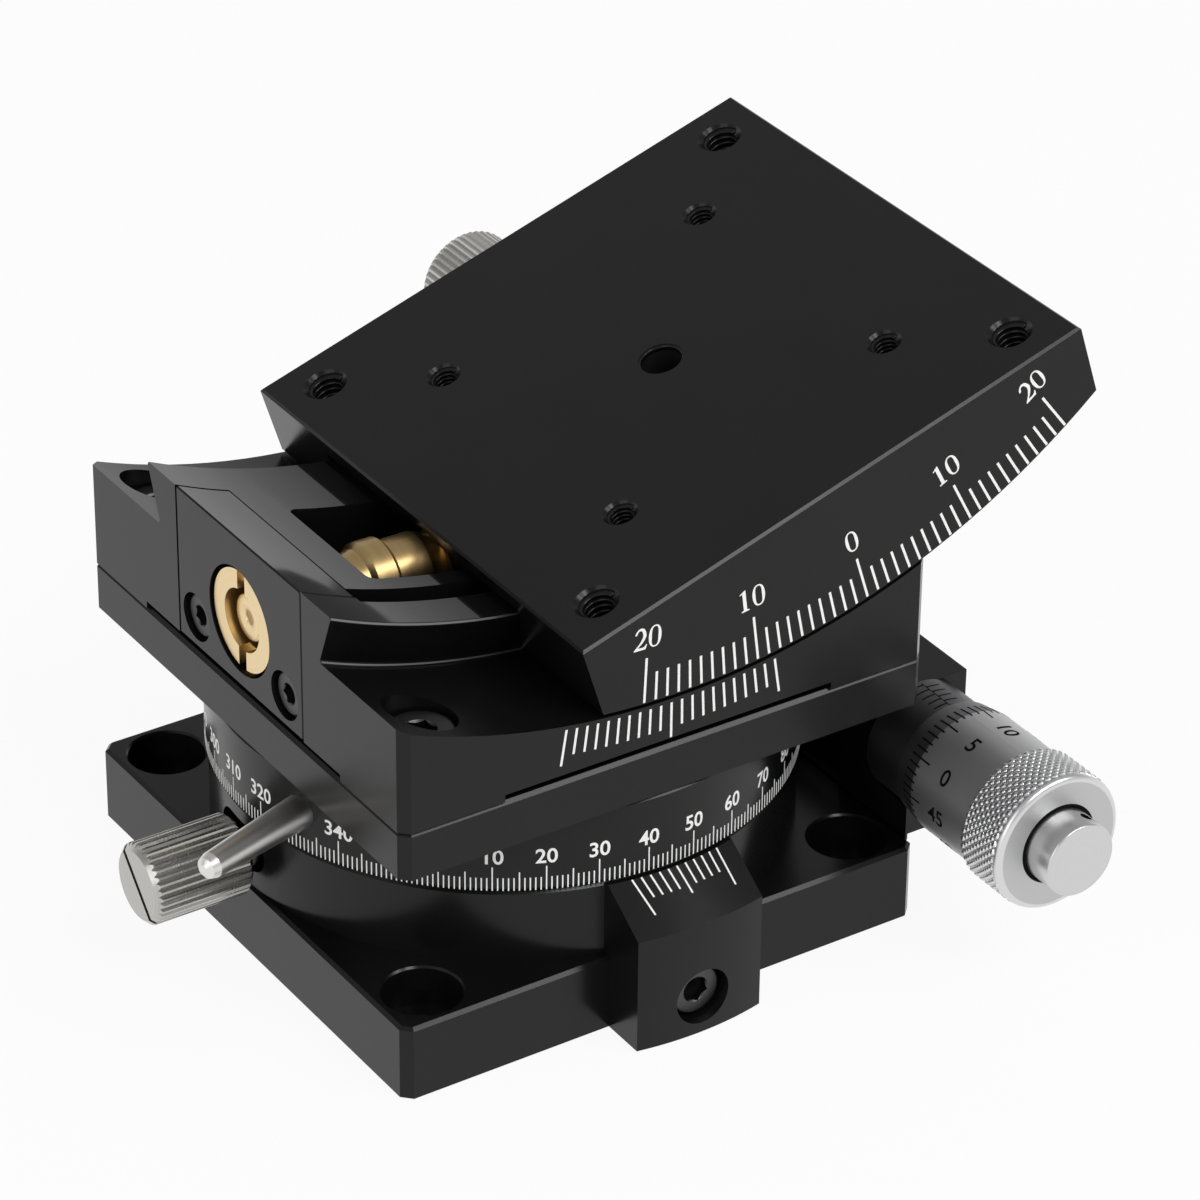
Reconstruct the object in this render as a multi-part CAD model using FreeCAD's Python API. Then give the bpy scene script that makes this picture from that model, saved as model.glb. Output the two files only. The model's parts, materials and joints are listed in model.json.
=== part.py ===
import FreeCAD, Part
import math
import os

V = FreeCAD.Vector
DIRECTION = {"x": V(1, 0, 0), "y": V(0, 1, 0), "z": V(0, 0, 1)}

# Square outline of the flange, the turning plate, the tilt body and the stage
side = 60.0
corner_bevel = 1.0
edge_bevel = 0.35
corner_hole_inset = 5.0

# Base: square flange, round housing, cavity for the clamp ring, bearing post
flange_height = 8.2
housing_height = 8.2
housing_step = 0.3
housing_wall = 4.3
cavity_floor = 6.8
bearing_width = 8.0
base_bore_radius = 7.5
base_hole_radius = 2.25
base_counterbore_radius = 4.0
base_counterbore_depth = 4.4
counterbore_bevel = 0.2

# Scale ring and the square plate on it
ring_gap = 0.2
ring_height = 8.6
hub_floor_gap = 0.5
hub_lip = 2.4
ring_bore_radius = 8.0
plate_thickness = 5.2
plate_screw_inset = 6.0
plate_screw_count = 4

# Table bearing
race_step = 1.6
race_height = 5.6
inner_race_wall = 1.9
outer_race_wall = 1.8
ball_radius = 1.5
ball_count = 18
race_groove_clearance = 0.08

# Clamp ring, its tangent arm and the lock screw
clamp_ring_width = 5.4
clamp_bore_clearance = 0.08
clamp_ring_clearance = 0.4
arm_width = 7.0
arm_height = 6.2
arm_post_gap = 1.2
arm_post_lap = 3.0
arm_post_top = 4.0
arm_clearance = 0.7
fine_back = 7.0
fine_forward = 1.0
lock_drop = 4.1
lock_knob_radius = 4.25
lock_knob_length = 11.0
lock_knob_gap = 1.5
lock_knob_ridges = 36
lock_slot_width = 0.6
lock_slot_turn = -42.0
lock_neck_radius = 2.0
lock_neck_clearance = 0.35
shoe_thickness = 1.6

# Table lever, a tapered rod with a domed end
lever_angle = -163.3
lever_rise = 4.4
lever_root_radius = 1.8
lever_tip_radius = 1.35
lever_length = 13.6
lever_thread_depth = 5.0

# Vernier block on the base
vernier_shift = 0.6
vernier_width = 14.6
vernier_reach = 5.6
vernier_lap = 4.0
vernier_ring_gap = 0.3
vernier_slope_drop = 3.65
vernier_screw_height = 4.15

# Micrometer: where its axis lies, bracket, barrel, thimble
micrometer_offset = 4.4
bracket_lift = 0.2
bracket_outer = 6.0
bracket_top = 5.6
bracket_wall = 1.8
front_lug_inset = 6.6
front_lug_length = 6.8
bracket_foot_length = 4.75
bracket_foot_height = 3.6
barrel_groove_clearance = 0.3
rear_lug_inset = 15.0
rear_lug_length = 10.0
bracket_leg_thickness = 6.0
bracket_leg_bottom = 1.2
bracket_leg_lap = 3.0
bracket_screw_span = 20.0
bracket_screw_height = 4.6
stem_radius = 3.2
barrel_radius = 6.1
barrel_length = 19.0
spindle_radius = 1.9
spindle_tip_radius = 1.5
spindle_grip = 2.0
contact_gap = 0.05
thimble_gap = 5.6
thimble_length = 18.0
thimble_radius = 6.9
thimble_edge_radius = 6.45
thimble_taper = 3.0
thimble_bore_clearance = 0.15
thimble_end_wall = 3.2
thimble_end_bevel = 0.45
knurl_radius = 7.5
knurl_length = 5.8
knurl_rounding = 0.5
knurl_ring_wall = 0.3
end_knob_radius = 3.95
end_knob_length = 3.6
end_knob_recess = 0.4
end_knob_clearance = 0.25
end_knob_bevel = 0.2

# Spring plunger opposite the micrometer
plunger_barrel_radius = 3.6
plunger_pin_radius = 1.6
plunger_head_radius = 2.6
plunger_head_length = 2.0
plunger_head_room = 0.9
plunger_nose = 1.5
plunger_bore_length = 17.0
plunger_cap = 1.2
spring_wire_radius = 0.25
spring_turns = 7

# Goniometer: turning centre, arcs and dovetail
tilt_rest = 17.6
stage_to_centre = 60.9
stage_arc_radius = 75.2
arc_gap = 0.4
body_waist = 5.2
dovetail_height = 5.5
dovetail_foot = 15.2
dovetail_top = 17.5
dovetail_foot_bevel = 0.35
dovetail_top_bevel = 0.3
flank_gap = 0.2
groove_gap = 0.5
arc_sweep = 40.0

# Tilt body
body_relief_depth = 0.8
body_pad = 11.3
channel_half_width = 7.8
channel_end_wall = 4.0
channel_corner = 1.0
channel_floor = 2.0
body_counterbore_radius = 3.7
body_counterbore_seat = 3.6
slit_inner = 10.0
slit_outer = 12.8
slit_depth = 9.0
cover_thickness = 6.0
cover_width = 24.0
cover_fit = 0.12
cover_bevel = 0.2
cover_screw_span = 17.0
cover_screw_height = 4.2

# Worm drive: one turn of the knob tilts the stage by 360 / worm_ratio degrees
worm_axis_height = 8.1
worm_ratio = 180
worm_pitch_radius = 3.25
tooth_addendum = 0.4
tooth_dedendum = 0.7
pressure_angle = 20.0
mesh_backlash = 0.2
worm_thread_length = 16.0
worm_journal_radius = 2.45
worm_cone_radius = 3.0
worm_neck_radius = 3.45
worm_neck_length = 3.5
worm_collar_radius = 4.0
worm_collar_length = 3.2
worm_collar_bevel = 0.5
worm_runout = 2.1
thrust_washer_thickness = 0.8
thrust_washer_radius = 4.2
running_clearance = 0.05
bush_radius = 4.0
ring_nut_radius = 5.35
ring_nut_thread_radius = 4.5
ring_nut_bore = 3.3
ring_nut_flange = 2.6
ring_nut_recess = 0.3
ring_nut_slot = 1.4
worm_end_recess = 1.0
worm_knob_radius = 7.0
worm_knob_length = 12.0
worm_knob_gap = 2.0
worm_knob_ridges = 40

# Toothed sector under the stage
sector_half_teeth = 11
sector_face_width = 5.0
sector_rim = 2.15
sector_roof = 1.4
sector_flange_width = 14.0
sector_flange_angle = 17.0
sector_flange_thickness = 1.6
sector_slot_clearance = 0.1
sector_slot_width = 6.2
sector_screw_angle = 15.0
sector_screw_offset = 5.0
sector_screw_length = 4.2

# Stage: bevel round its top and its holes
stage_bevel = 0.25
stage_hole_radius = 1.65
stage_hole_mouth = 2.3
stage_hole_depth = 8.0
stage_inner_spacing = 32.2
stage_inner_radius = 1.25
stage_inner_mouth = 1.8
stage_inner_depth = 6.0
stage_centre_radius = 2.3
stage_centre_depth = 4.5

# Tilt clamp screw on the side of the stage
clamp_screw_radius = 2.0
clamp_screw_cover = 0.4
clamp_knob_radius = 5.5
clamp_knob_length = 11.0
clamp_knob_gap = 1.0
clamp_knob_ridges = 44
clamp_shoe_length = 1.8

# Socket cap screws: head radius, head height, shank radius, width of the hex
M4 = {"head": 3.5, "height": 4.0, "shank": 2.0, "hex": 3.0}
M3 = {"head": 2.75, "height": 2.0, "shank": 1.5, "hex": 2.5}
M25 = {"head": 2.25, "height": 2.2, "shank": 1.25, "hex": 2.0}
M2 = {"head": 1.7, "height": 1.2, "shank": 1.0, "hex": 1.3}
screw_hole_clearance = 0.25
head_clearance = 0.3
thread_bite = 6.0
thread_room = 0.5

# Heights and radii that follow from the sizes above
half = side / 2
corner_hole_spacing = side - 2 * corner_hole_inset
ring_radius = half
housing_radius = ring_radius - housing_step
cavity_radius = housing_radius - housing_wall
hub_radius = cavity_radius - clamp_ring_width
post_radius = hub_radius - bearing_width
plate_screw_circle = half - plate_screw_inset
housing_top = flange_height + housing_height
lock_height = housing_top - lock_drop
micrometer_x = half + micrometer_offset
micrometer_z = housing_top
front_lug_face = front_lug_inset - half
rear_lug_face = half - rear_lug_inset
ring_bottom = housing_top + ring_gap
plate_bottom = ring_bottom + ring_height
plate_top = plate_bottom + plate_thickness
shelf_radius = stage_arc_radius + arc_gap
rib_radius = shelf_radius - dovetail_height
groove_radius = rib_radius - groove_gap
centre_z = plate_top + body_waist + shelf_radius
worm_z = plate_top + worm_axis_height
worm_tip_radius = worm_pitch_radius + tooth_addendum
worm_root_radius = worm_pitch_radius - tooth_dedendum
sector_pitch_radius = centre_z - worm_z - worm_pitch_radius
sector_back_radius = sector_pitch_radius - tooth_dedendum - sector_rim
sector_back_depth = stage_to_centre + sector_roof
clamp_screw_depth = groove_radius + clamp_screw_radius + clamp_screw_cover
channel_half_length = half - cover_thickness - channel_end_wall
worm_lead = 2 * math.pi * sector_pitch_radius / worm_ratio
lead_angle = math.degrees(math.atan2(worm_lead, 2 * math.pi * worm_pitch_radius))
race_bottom = cavity_floor + race_step
outer_race_radius = hub_radius - hub_lip
ball_circle = (post_radius + inner_race_wall + outer_race_radius - outer_race_wall) / 2


def on_axis(axis, along, at):
    """Point at a distance along an axis whose line crosses the other two axes at `at`."""
    if axis == "x":
        return V(along, at[0], at[1])
    if axis == "y":
        return V(at[0], along, at[1])
    return V(at[0], at[1], along)


def around(axis, along, at, reach, degrees):
    """Point at a reach and an angle around an axis, counted from the first axis across it."""
    aside = V(0, 1, 0) if axis == "x" else V(1, 0, 0)
    up = V(0, 1, 0) if axis == "z" else V(0, 0, 1)
    angle = math.radians(degrees)
    return on_axis(axis, along, at) + aside * (reach * math.cos(angle)) + up * (reach * math.sin(angle))


def box(x, y, z):
    """Block between two ends on each axis."""
    return Part.makeBox(x[1] - x[0], y[1] - y[0], z[1] - z[0], V(x[0], y[0], z[0]))


def rod(axis, radius, start, end, at=(0, 0)):
    """Cylinder between two places along an axis."""
    low, high = min(start, end), max(start, end)
    return Part.makeCylinder(radius, high - low, on_axis(axis, low, at), DIRECTION[axis])


def tube(axis, outer, inner, start, end, at=(0, 0)):
    """Hollow cylinder."""
    return rod(axis, outer, start, end, at).cut(rod(axis, inner, start, end, at))


def turned(axis, outline, at=(0, 0), sweep=360.0):
    """Solid turned from an outline of (radius, along) points."""
    outward = V(1, 0, 0) if axis == "z" else V(0, 0, 1)
    points = [on_axis(axis, along, at) + outward * radius for radius, along in outline]
    face = Part.Face(Part.makePolygon(points + points[:1]))
    solid = face.revolve(on_axis(axis, 0, at), DIRECTION[axis], sweep)
    return upright(solid)


def upright(shape):
    """The same solid with its faces pointing outwards."""
    if shape.Volume < 0:
        shape.reverse()
    return shape


def fused(pieces):
    """One solid from pieces that touch or overlap."""
    pieces = list(pieces)
    return pieces[0].multiFuse(pieces[1:]).removeSplitter() if len(pieces) > 1 else pieces[0]


def less(shape, tools):
    """The shape with every tool cut out of it."""
    return shape.cut(list(tools))


def beside(spacing):
    """Centres of the four holes of a square pattern."""
    reach = spacing / 2
    return [(sx * reach, sy * reach) for sx in (-1, 1) for sy in (-1, 1)]


def about_z(shape, degrees):
    """Copy of a shape turned about the upright axis of the stage."""
    copy = shape.copy()
    copy.rotate(V(0, 0, 0), V(0, 0, 1), degrees)
    return copy


def about_centre(shape, degrees):
    """Copy of a shape tilted about the turning centre, +X end up."""
    copy = shape.copy()
    copy.rotate(V(0, 0, centre_z), V(0, -1, 0), degrees)
    return copy


def hexagon(axis, across, start, end, at):
    """Hexagonal prism along an axis."""
    corner = across / math.sqrt(3)
    low, high = min(start, end), max(start, end)
    points = [around(axis, low, at, corner, 60 * step) for step in range(6)]
    return Part.Face(Part.makePolygon(points + points[:1])).extrude(DIRECTION[axis] * (high - low))


def cap_screw(size, axis, seat, tip, at):
    """Socket cap screw whose head rests on the seat and whose shank reaches the tip."""
    away = 1 if seat > tip else -1
    top = seat + away * size["height"]
    screw = fused([rod(axis, size["head"], seat, top, at), rod(axis, size["shank"], seat, tip, at)])
    socket = hexagon(axis, size["hex"], top - away * size["height"] * 0.6, top + away, at)
    return screw.cut(socket)


def knurled(axis, radius, start, end, ridges, depth, bevel, at=(0, 0)):
    """Straight knurled knob with bevelled ends."""
    low, high = min(start, end), max(start, end)
    points = []
    for step in range(ridges):
        for share, reach in ((0.0, radius - depth), (0.35, radius), (0.65, radius)):
            points.append(around(axis, low, at, reach, 360.0 * (step + share) / ridges))
    prism = Part.Face(Part.makePolygon(points + points[:1])).extrude(DIRECTION[axis] * (high - low))
    ends = turned(axis, [(0, low), (radius - bevel, low), (radius, low + bevel),
                         (radius, high - bevel), (radius - bevel, high), (0, high)], at)
    return upright(prism).common(ends)


def top_edges(shape, top):
    """Edges that lie in the top plane of a shape."""
    return [e for e in shape.Edges if all(abs(v.Z - top) < 1e-6 for v in e.Vertexes)]


def upright_edges(shape):
    """Edges of a block that run along Z."""
    return [e for e in shape.Edges if abs(e.Vertexes[0].Z - e.Vertexes[1].Z) > 1e-6]


def bevelled_column(bottom, top):
    """Square column with bevelled upright corners."""
    column = box((-half, half), (-half, half), (bottom, top))
    return column.makeChamfer(corner_bevel, upright_edges(column))


def square_plate(bottom, top):
    """Square plate with bevelled upright corners and bevelled top edges."""
    plate = bevelled_column(bottom, top)
    return plate.makeChamfer(edge_bevel, top_edges(plate, top))


def arc_band(outline, half_sweep=arc_sweep):
    """Solid turned about the tilt axis from (across, radius) points, under the centre."""
    points = [V(0, across, centre_z - radius) for across, radius in outline]
    face = Part.Face(Part.makePolygon(points + points[:1]))
    face.rotate(V(0, 0, centre_z), V(0, 1, 0), -half_sweep)
    solid = face.revolve(V(0, 0, centre_z), V(0, 1, 0), 2 * half_sweep)
    return upright(solid)


def base_housing():
    flange = square_plate(0, flange_height)
    drum = turned("z", [(0, flange_height - 1), (housing_radius, flange_height - 1),
                        (housing_radius, housing_top - edge_bevel),
                        (housing_radius - edge_bevel, housing_top), (0, housing_top)])
    body = fused([flange, drum])
    cavity = tube("z", cavity_radius, post_radius, cavity_floor, housing_top + 1)
    over_post = rod("z", post_radius, race_bottom + race_height, housing_top + 1)
    step = tube("z", post_radius + 1.2, post_radius, cavity_floor, race_bottom)
    cuts = [cavity.cut(step), over_post, rod("z", base_bore_radius, -1, housing_top)]
    for x, y in beside(corner_hole_spacing):
        cuts.append(rod("z", base_hole_radius, -1, flange_height + 1, (x, y)))
        seat, mouth = flange_height - base_counterbore_depth, base_counterbore_radius + counterbore_bevel
        cuts.append(turned("z", [(0, seat), (base_counterbore_radius, seat),
                                 (base_counterbore_radius, flange_height - counterbore_bevel),
                                 (mouth, flange_height), (mouth, flange_height + 1),
                                 (0, flange_height + 1)], (x, y)))
    cuts += [lock_slot(), arm_window()]
    hole_end = half - thread_bite - thread_room
    cuts.append(rod("y", M3["shank"], -half - 1, -hole_end, (vernier_shift, vernier_screw_height)))
    for y in bracket_screw_places():
        cuts.append(rod("x", M3["shank"], hole_end, half + 1, (y, bracket_screw_height)))
    return less(body, cuts)


def swing(radius, degrees):
    """How far a point at a radius moves sideways when the clamp ring turns."""
    return radius * math.sin(math.radians(degrees))


def lock_slot():
    """Slot with round ends through which the neck of the lock screw swings."""
    room = lock_neck_radius + lock_neck_clearance
    start, stop = -half - 1, 2 - cavity_radius
    ends = (-swing(half, fine_forward), swing(half, fine_back))
    middle = box((start, stop), ends, (lock_height - room, lock_height + room))
    return fused([middle] + [rod("x", room, start, stop, (y, lock_height)) for y in ends])


def arm_window():
    """Window through which the tangent arm swings."""
    low = -swing(half, fine_back) - arm_clearance
    high = arm_width + swing(half, fine_forward) + arm_clearance
    return box((cavity_radius - 2, half + 1), (low, high), (arm_bottom() - arm_clearance, housing_top + 1))


def arm_bottom():
    return housing_top - clamp_ring_clearance - arm_height


def bearing_inner_race():
    outer = post_radius + inner_race_wall
    race = tube("z", outer, post_radius, race_bottom, race_bottom + race_height)
    return race.cut(ball_track())


def bearing_outer_race():
    inner = outer_race_radius - outer_race_wall
    race = tube("z", outer_race_radius, inner, race_bottom, race_bottom + race_height)
    return race.cut(ball_track())


def ball_track():
    middle = V(0, 0, race_bottom + race_height / 2)
    return Part.makeTorus(ball_circle, ball_radius + race_groove_clearance, middle, V(0, 0, 1))


def bearing_balls():
    ball = Part.makeSphere(ball_radius, V(ball_circle, 0, race_bottom + race_height / 2))
    return Part.Compound([about_z(ball, 360.0 * step / ball_count) for step in range(ball_count)])


def vernier_block():
    inner = ring_radius + vernier_ring_gap
    outer = half + vernier_reach
    band = turned("z", [(0, 0), (outer, 0), (outer, housing_top - vernier_slope_drop),
                        (inner, housing_top), (0, housing_top)])
    slab = box((vernier_shift - vernier_width / 2, vernier_shift + vernier_width / 2),
               (-outer - 1, 0), (0, housing_top))
    block = band.common(slab)
    flange_room = box((-half, half), (-half, half), (-1, flange_height))
    housing_room = rod("z", housing_radius, -1, housing_top + 1)
    behind = box((-half, half), (-half + vernier_lap, half), (-1, housing_top + 1))
    at = (vernier_shift, vernier_screw_height)
    seat = vernier_screw_seat()
    hole = rod("y", M3["shank"] + screw_hole_clearance, -outer, -half + 1, at)
    counterbore = rod("y", M3["head"] + head_clearance, -outer - 2, seat, at)
    return less(block, [flange_room, housing_room, behind, hole, counterbore])


def vernier_screw_seat():
    return -half - 2.2


def vernier_screw():
    at = (vernier_shift, vernier_screw_height)
    return cap_screw(M3, "y", vernier_screw_seat(), thread_bite - half, at)


def bracket_screw_places():
    middle = (front_lug_back() + rear_lug_face) / 2
    return [middle - bracket_screw_span / 2, middle + bracket_screw_span / 2]


def front_lug_back():
    return front_lug_face + front_lug_length


def micrometer_bracket():
    at = (micrometer_x, micrometer_z)
    outer = micrometer_x + bracket_outer
    bottom, top = flange_height + bracket_lift, micrometer_z + bracket_top
    front_back, rear_back = front_lug_back(), rear_lug_face + rear_lug_length
    foot_front = front_lug_face - bracket_foot_length
    pieces = [
        box((half, outer), (front_lug_face, front_back), (bottom, top)),
        box((half, outer), (rear_lug_face, rear_back), (bottom, top)),
        box((outer - bracket_wall, outer), (front_lug_face, rear_back), (bottom, top)),
        box((half, outer), (foot_front, front_back), (bottom, bottom + bracket_foot_height)),
        box((half, half + bracket_leg_thickness),
            (front_back - bracket_leg_lap, rear_lug_face + bracket_leg_lap), (bracket_leg_bottom, bottom)),
    ]
    cuts = [
        rod("y", stem_radius, front_lug_face - 1, front_back + 1, at),
        rod("y", barrel_radius + barrel_groove_clearance, foot_front - 1, front_lug_face, at),
        rod("y", plunger_barrel_radius, rear_lug_face - 1, rear_back + 1, at),
        rod("x", M25["shank"], micrometer_x, outer + 1, stem_screw_place()),
    ]
    seat = bracket_screw_seat()
    for y in bracket_screw_places():
        place = (y, bracket_screw_height)
        cuts.append(rod("x", M3["shank"] + screw_hole_clearance, half - 1, seat + 1, place))
        cuts.append(rod("x", M3["head"] + head_clearance, seat, outer + 1, place))
    return less(fused(pieces), cuts)


def bracket_screw_seat():
    return half + bracket_leg_thickness - M3["height"] - 0.4


def bracket_screws():
    tip = half - thread_bite
    return Part.Compound([cap_screw(M3, "x", bracket_screw_seat(), tip, (y, bracket_screw_height))
                          for y in bracket_screw_places()])


def micrometer_barrel():
    at = (micrometer_x, micrometer_z)
    end = front_lug_face - barrel_length
    outside = fused([rod("y", barrel_radius, end, front_lug_face, at),
                     rod("y", stem_radius, front_lug_face, front_lug_back(), at)])
    return outside.cut(rod("y", spindle_radius + running_clearance, end - 1, front_lug_back() + 1, at))


def stem_screw_place():
    return (front_lug_face + front_lug_length / 2, micrometer_z)


def stem_screw():
    """Set screw in the side of the front lug that clamps the stem of the barrel."""
    at = stem_screw_place()
    low, high = micrometer_x + stem_radius, micrometer_x + bracket_outer - 0.2
    return rod("x", M25["shank"], low, high, at).cut(hexagon("x", 1.3, high - 1.0, high + 1, at))


def micrometer_spindle():
    at = (micrometer_x, micrometer_z)
    back = thimble_end() + spindle_grip
    tip = -contact_gap
    round_start = tip - spindle_tip_radius * 0.4
    outline = [(0, back), (spindle_radius, back), (spindle_radius, round_start - 2),
               (spindle_tip_radius, round_start - 1.4), (spindle_tip_radius, round_start),
               (spindle_tip_radius * 0.55, tip - 0.15), (0, tip)]
    return turned("y", outline, at)


def thimble_edge():
    return front_lug_face - thimble_gap


def thimble_end():
    return thimble_edge() - thimble_length


def micrometer_thimble():
    at = (micrometer_x, micrometer_z)
    edge, end = thimble_edge(), thimble_end()
    bore = barrel_radius + thimble_bore_clearance
    knurl_start = end + knurl_rounding + knurl_length
    seat, hole = knurl_radius - knurl_ring_wall, spindle_radius + running_clearance
    recess = end_knob_radius + end_knob_clearance
    outline = [(bore, edge), (thimble_edge_radius, edge), (thimble_radius, edge - thimble_taper),
               (thimble_radius, knurl_start), (seat, knurl_start), (seat, end + thimble_end_bevel),
               (seat - thimble_end_bevel, end), (recess, end), (recess, end + end_knob_recess),
               (hole, end + end_knob_recess), (hole, end + thimble_end_wall),
               (bore, end + thimble_end_wall)]
    return turned("y", outline, at)


def thimble_knurl():
    """Knurled grip ring pressed over the end of the thimble."""
    at = (micrometer_x, micrometer_z)
    end = thimble_end()
    start = end + knurl_rounding + knurl_length
    inner = knurl_radius - knurl_ring_wall
    outline = [(inner, start), (knurl_radius - 0.2, start), (knurl_radius, start - 0.3),
               (knurl_radius, end + knurl_rounding + 0.3), (inner, end + knurl_rounding)]
    return turned("y", outline, at)


def thimble_end_knob():
    at = (micrometer_x, micrometer_z)
    root = thimble_end() + end_knob_recess
    face = thimble_end() - end_knob_length
    outline = [(0, root), (end_knob_radius, root), (end_knob_radius, face + end_knob_bevel),
               (end_knob_radius - end_knob_bevel, face), (0, face)]
    knob = turned("y", outline, at)
    top = micrometer_z + end_knob_radius
    return knob.cut(rod("z", 0.5, top - 1.2, top + 1, (micrometer_x, thimble_end() - end_knob_length / 2)))


def plunger_front():
    """Where the pin of the plunger meets the arm."""
    return arm_width + contact_gap


def plunger_head_front():
    """Front of the head, far enough back for the pin to follow the arm."""
    return rear_lug_face + swing(micrometer_x, fine_back) + plunger_head_room


def plunger_bore_end():
    return rear_lug_face + plunger_bore_length


def plunger_barrel():
    at = (micrometer_x, micrometer_z)
    front = rear_lug_face - plunger_nose
    outside = rod("y", plunger_barrel_radius, front, plunger_bore_end() + plunger_cap, at)
    bore = rod("y", plunger_head_radius + 0.1, rear_lug_face, plunger_bore_end(), at)
    nose = rod("y", plunger_pin_radius + 0.1, front - 1, rear_lug_face + 1, at)
    return less(outside, [bore, nose])


def plunger_pin():
    at = (micrometer_x, micrometer_z)
    tip, head_front = plunger_front(), plunger_head_front()
    head_back = head_front + plunger_head_length
    outline = [(0, tip), (plunger_pin_radius * 0.6, tip + 0.15), (plunger_pin_radius, tip + 0.8),
               (plunger_pin_radius, head_front), (plunger_head_radius, head_front),
               (plunger_head_radius, head_back), (0, head_back)]
    return turned("y", outline, at)


def plunger_spring():
    """Spring as short as it gets with the arm fully forward."""
    at = (micrometer_x, micrometer_z)
    room = swing(micrometer_x, fine_forward) + contact_gap
    start = plunger_head_front() + plunger_head_length + room + spring_wire_radius
    end = plunger_bore_end() - spring_wire_radius
    coil_radius = plunger_head_radius - spring_wire_radius - 0.15
    helix = Part.makeHelix((end - start) / spring_turns, end - start, coil_radius)
    section = Part.Wire(Part.makeCircle(spring_wire_radius, V(coil_radius, 0, 0), V(0, 1, 0)))
    coil = Part.Wire(helix.Edges).makePipeShell([section], True, True)
    coil = upright(coil)
    coil.rotate(V(0, 0, 0), V(1, 0, 0), -90)
    coil.translate(on_axis("y", start, at))
    return coil


def clamp_ring():
    low = cavity_floor + clamp_ring_clearance
    high = housing_top - clamp_ring_clearance
    outer = cavity_radius - clamp_ring_clearance
    inner = hub_radius + clamp_bore_clearance
    middle = (outer + inner) / 2
    post_start, post_end = half + arm_post_gap, micrometer_x + arm_post_lap
    arm = box((middle, post_start + 1), (0, arm_width), (high - arm_height, high))
    post = box((post_start, post_end), (0, arm_width), (high - arm_height, micrometer_z + arm_post_top))
    ring = fused([tube("z", outer, inner, low, high), arm, post])
    thread = rod("x", lock_neck_radius, -outer - 1, -inner - shoe_thickness, (0, lock_height))
    pocket = rod("x", lock_neck_radius + 0.4, -inner - shoe_thickness, -inner + 1, (0, lock_height))
    return less(ring, [thread, pocket])


def clamp_shoe():
    inner = hub_radius + clamp_bore_clearance
    shoe = rod("x", lock_neck_radius + 0.35, -inner - shoe_thickness, -inner + 1, (0, lock_height))
    return shoe.cut(rod("z", inner, 0, housing_top))


def lock_screw():
    at = (0, lock_height)
    inner = hub_radius + clamp_bore_clearance
    root = -(housing_radius + lock_knob_gap)
    tip = root - lock_knob_length
    knob = knurled("x", lock_knob_radius, tip, root, lock_knob_ridges, 0.3, 0.6, at)
    neck = rod("x", lock_neck_radius - 0.02, root - 1, -inner - shoe_thickness - 0.05, at)
    slot = box((tip - 1, tip + 0.9), (-lock_slot_width / 2, lock_slot_width / 2), (0, 2 * lock_height))
    slot.rotate(on_axis("x", 0, at), DIRECTION["x"], lock_slot_turn)
    return fused([knob, neck]).cut(slot)


def scale_ring():
    hub_bottom = cavity_floor + hub_floor_gap
    race_top = race_bottom + race_height
    outline = [(ring_bore_radius, plate_bottom), (ring_radius - edge_bevel, plate_bottom),
               (ring_radius, plate_bottom - edge_bevel), (ring_radius, ring_bottom + edge_bevel),
               (ring_radius - edge_bevel, ring_bottom), (hub_radius, ring_bottom),
               (hub_radius, hub_bottom), (outer_race_radius, hub_bottom), (outer_race_radius, race_top),
               (outer_race_radius - 1.2, race_top), (outer_race_radius - 1.2, race_top + 1.4),
               (ring_bore_radius, race_top + 1.4)]
    ring = turned("z", outline)
    lever_hole = about_z(rod("x", lever_root_radius, ring_radius - lever_thread_depth, ring_radius + 1,
                             (0, lever_z())), lever_angle)
    cuts = [lever_hole]
    for step in range(plate_screw_count):
        hole = rod("z", M3["shank"], plate_bottom - thread_bite - thread_room, plate_bottom + 1,
                   (plate_screw_circle, 0))
        cuts.append(about_z(hole, 45 + 360.0 * step / plate_screw_count))
    return less(ring, cuts)


def lever_z():
    return ring_bottom + lever_rise


def table_lever():
    root = ring_radius - lever_thread_depth
    tip = ring_radius + lever_length
    outline = [(0, root), (lever_root_radius - 0.02, root), (lever_root_radius - 0.02, ring_radius),
               (lever_tip_radius, tip - lever_tip_radius), (lever_tip_radius - 0.25, tip - 0.55),
               (lever_tip_radius - 0.8, tip - 0.12), (0, tip)]
    return about_z(turned("x", outline, (0, lever_z())), lever_angle)


def top_plate():
    plate = square_plate(plate_bottom, plate_top)
    cuts = [rod("z", ring_bore_radius, plate_bottom - 1, plate_top + 1)]
    for x, y in beside(corner_hole_spacing):
        cuts.append(rod("z", M4["shank"], plate_bottom - 1, plate_top + 1, (x, y)))
    seat = plate_top - M3["height"] - 0.6
    for step in range(plate_screw_count):
        angle = 45 + 360.0 * step / plate_screw_count
        at = (plate_screw_circle, 0)
        hole = rod("z", M3["shank"] + screw_hole_clearance, plate_bottom - 1, plate_top, at)
        sink = rod("z", M3["head"] + head_clearance, seat, plate_top + 1, at)
        cuts += [about_z(hole, angle), about_z(sink, angle)]
    return less(plate, cuts)


def plate_screws():
    seat = plate_top - M3["height"] - 0.6
    screw = cap_screw(M3, "z", seat, plate_bottom - thread_bite, (plate_screw_circle, 0))
    return Part.Compound([about_z(screw, 45 + 360.0 * step / plate_screw_count)
                          for step in range(plate_screw_count)])


def flank_across(radius):
    """Half width of the dovetail at a radius from the turning centre."""
    share = (shelf_radius - radius) / dovetail_height
    return dovetail_foot + share * (dovetail_top - dovetail_foot)


def deep_radius():
    """Radius about the tilt axis that lies below every corner of the turning plate's top."""
    return math.hypot(centre_z - plate_top, half) + 1


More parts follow.
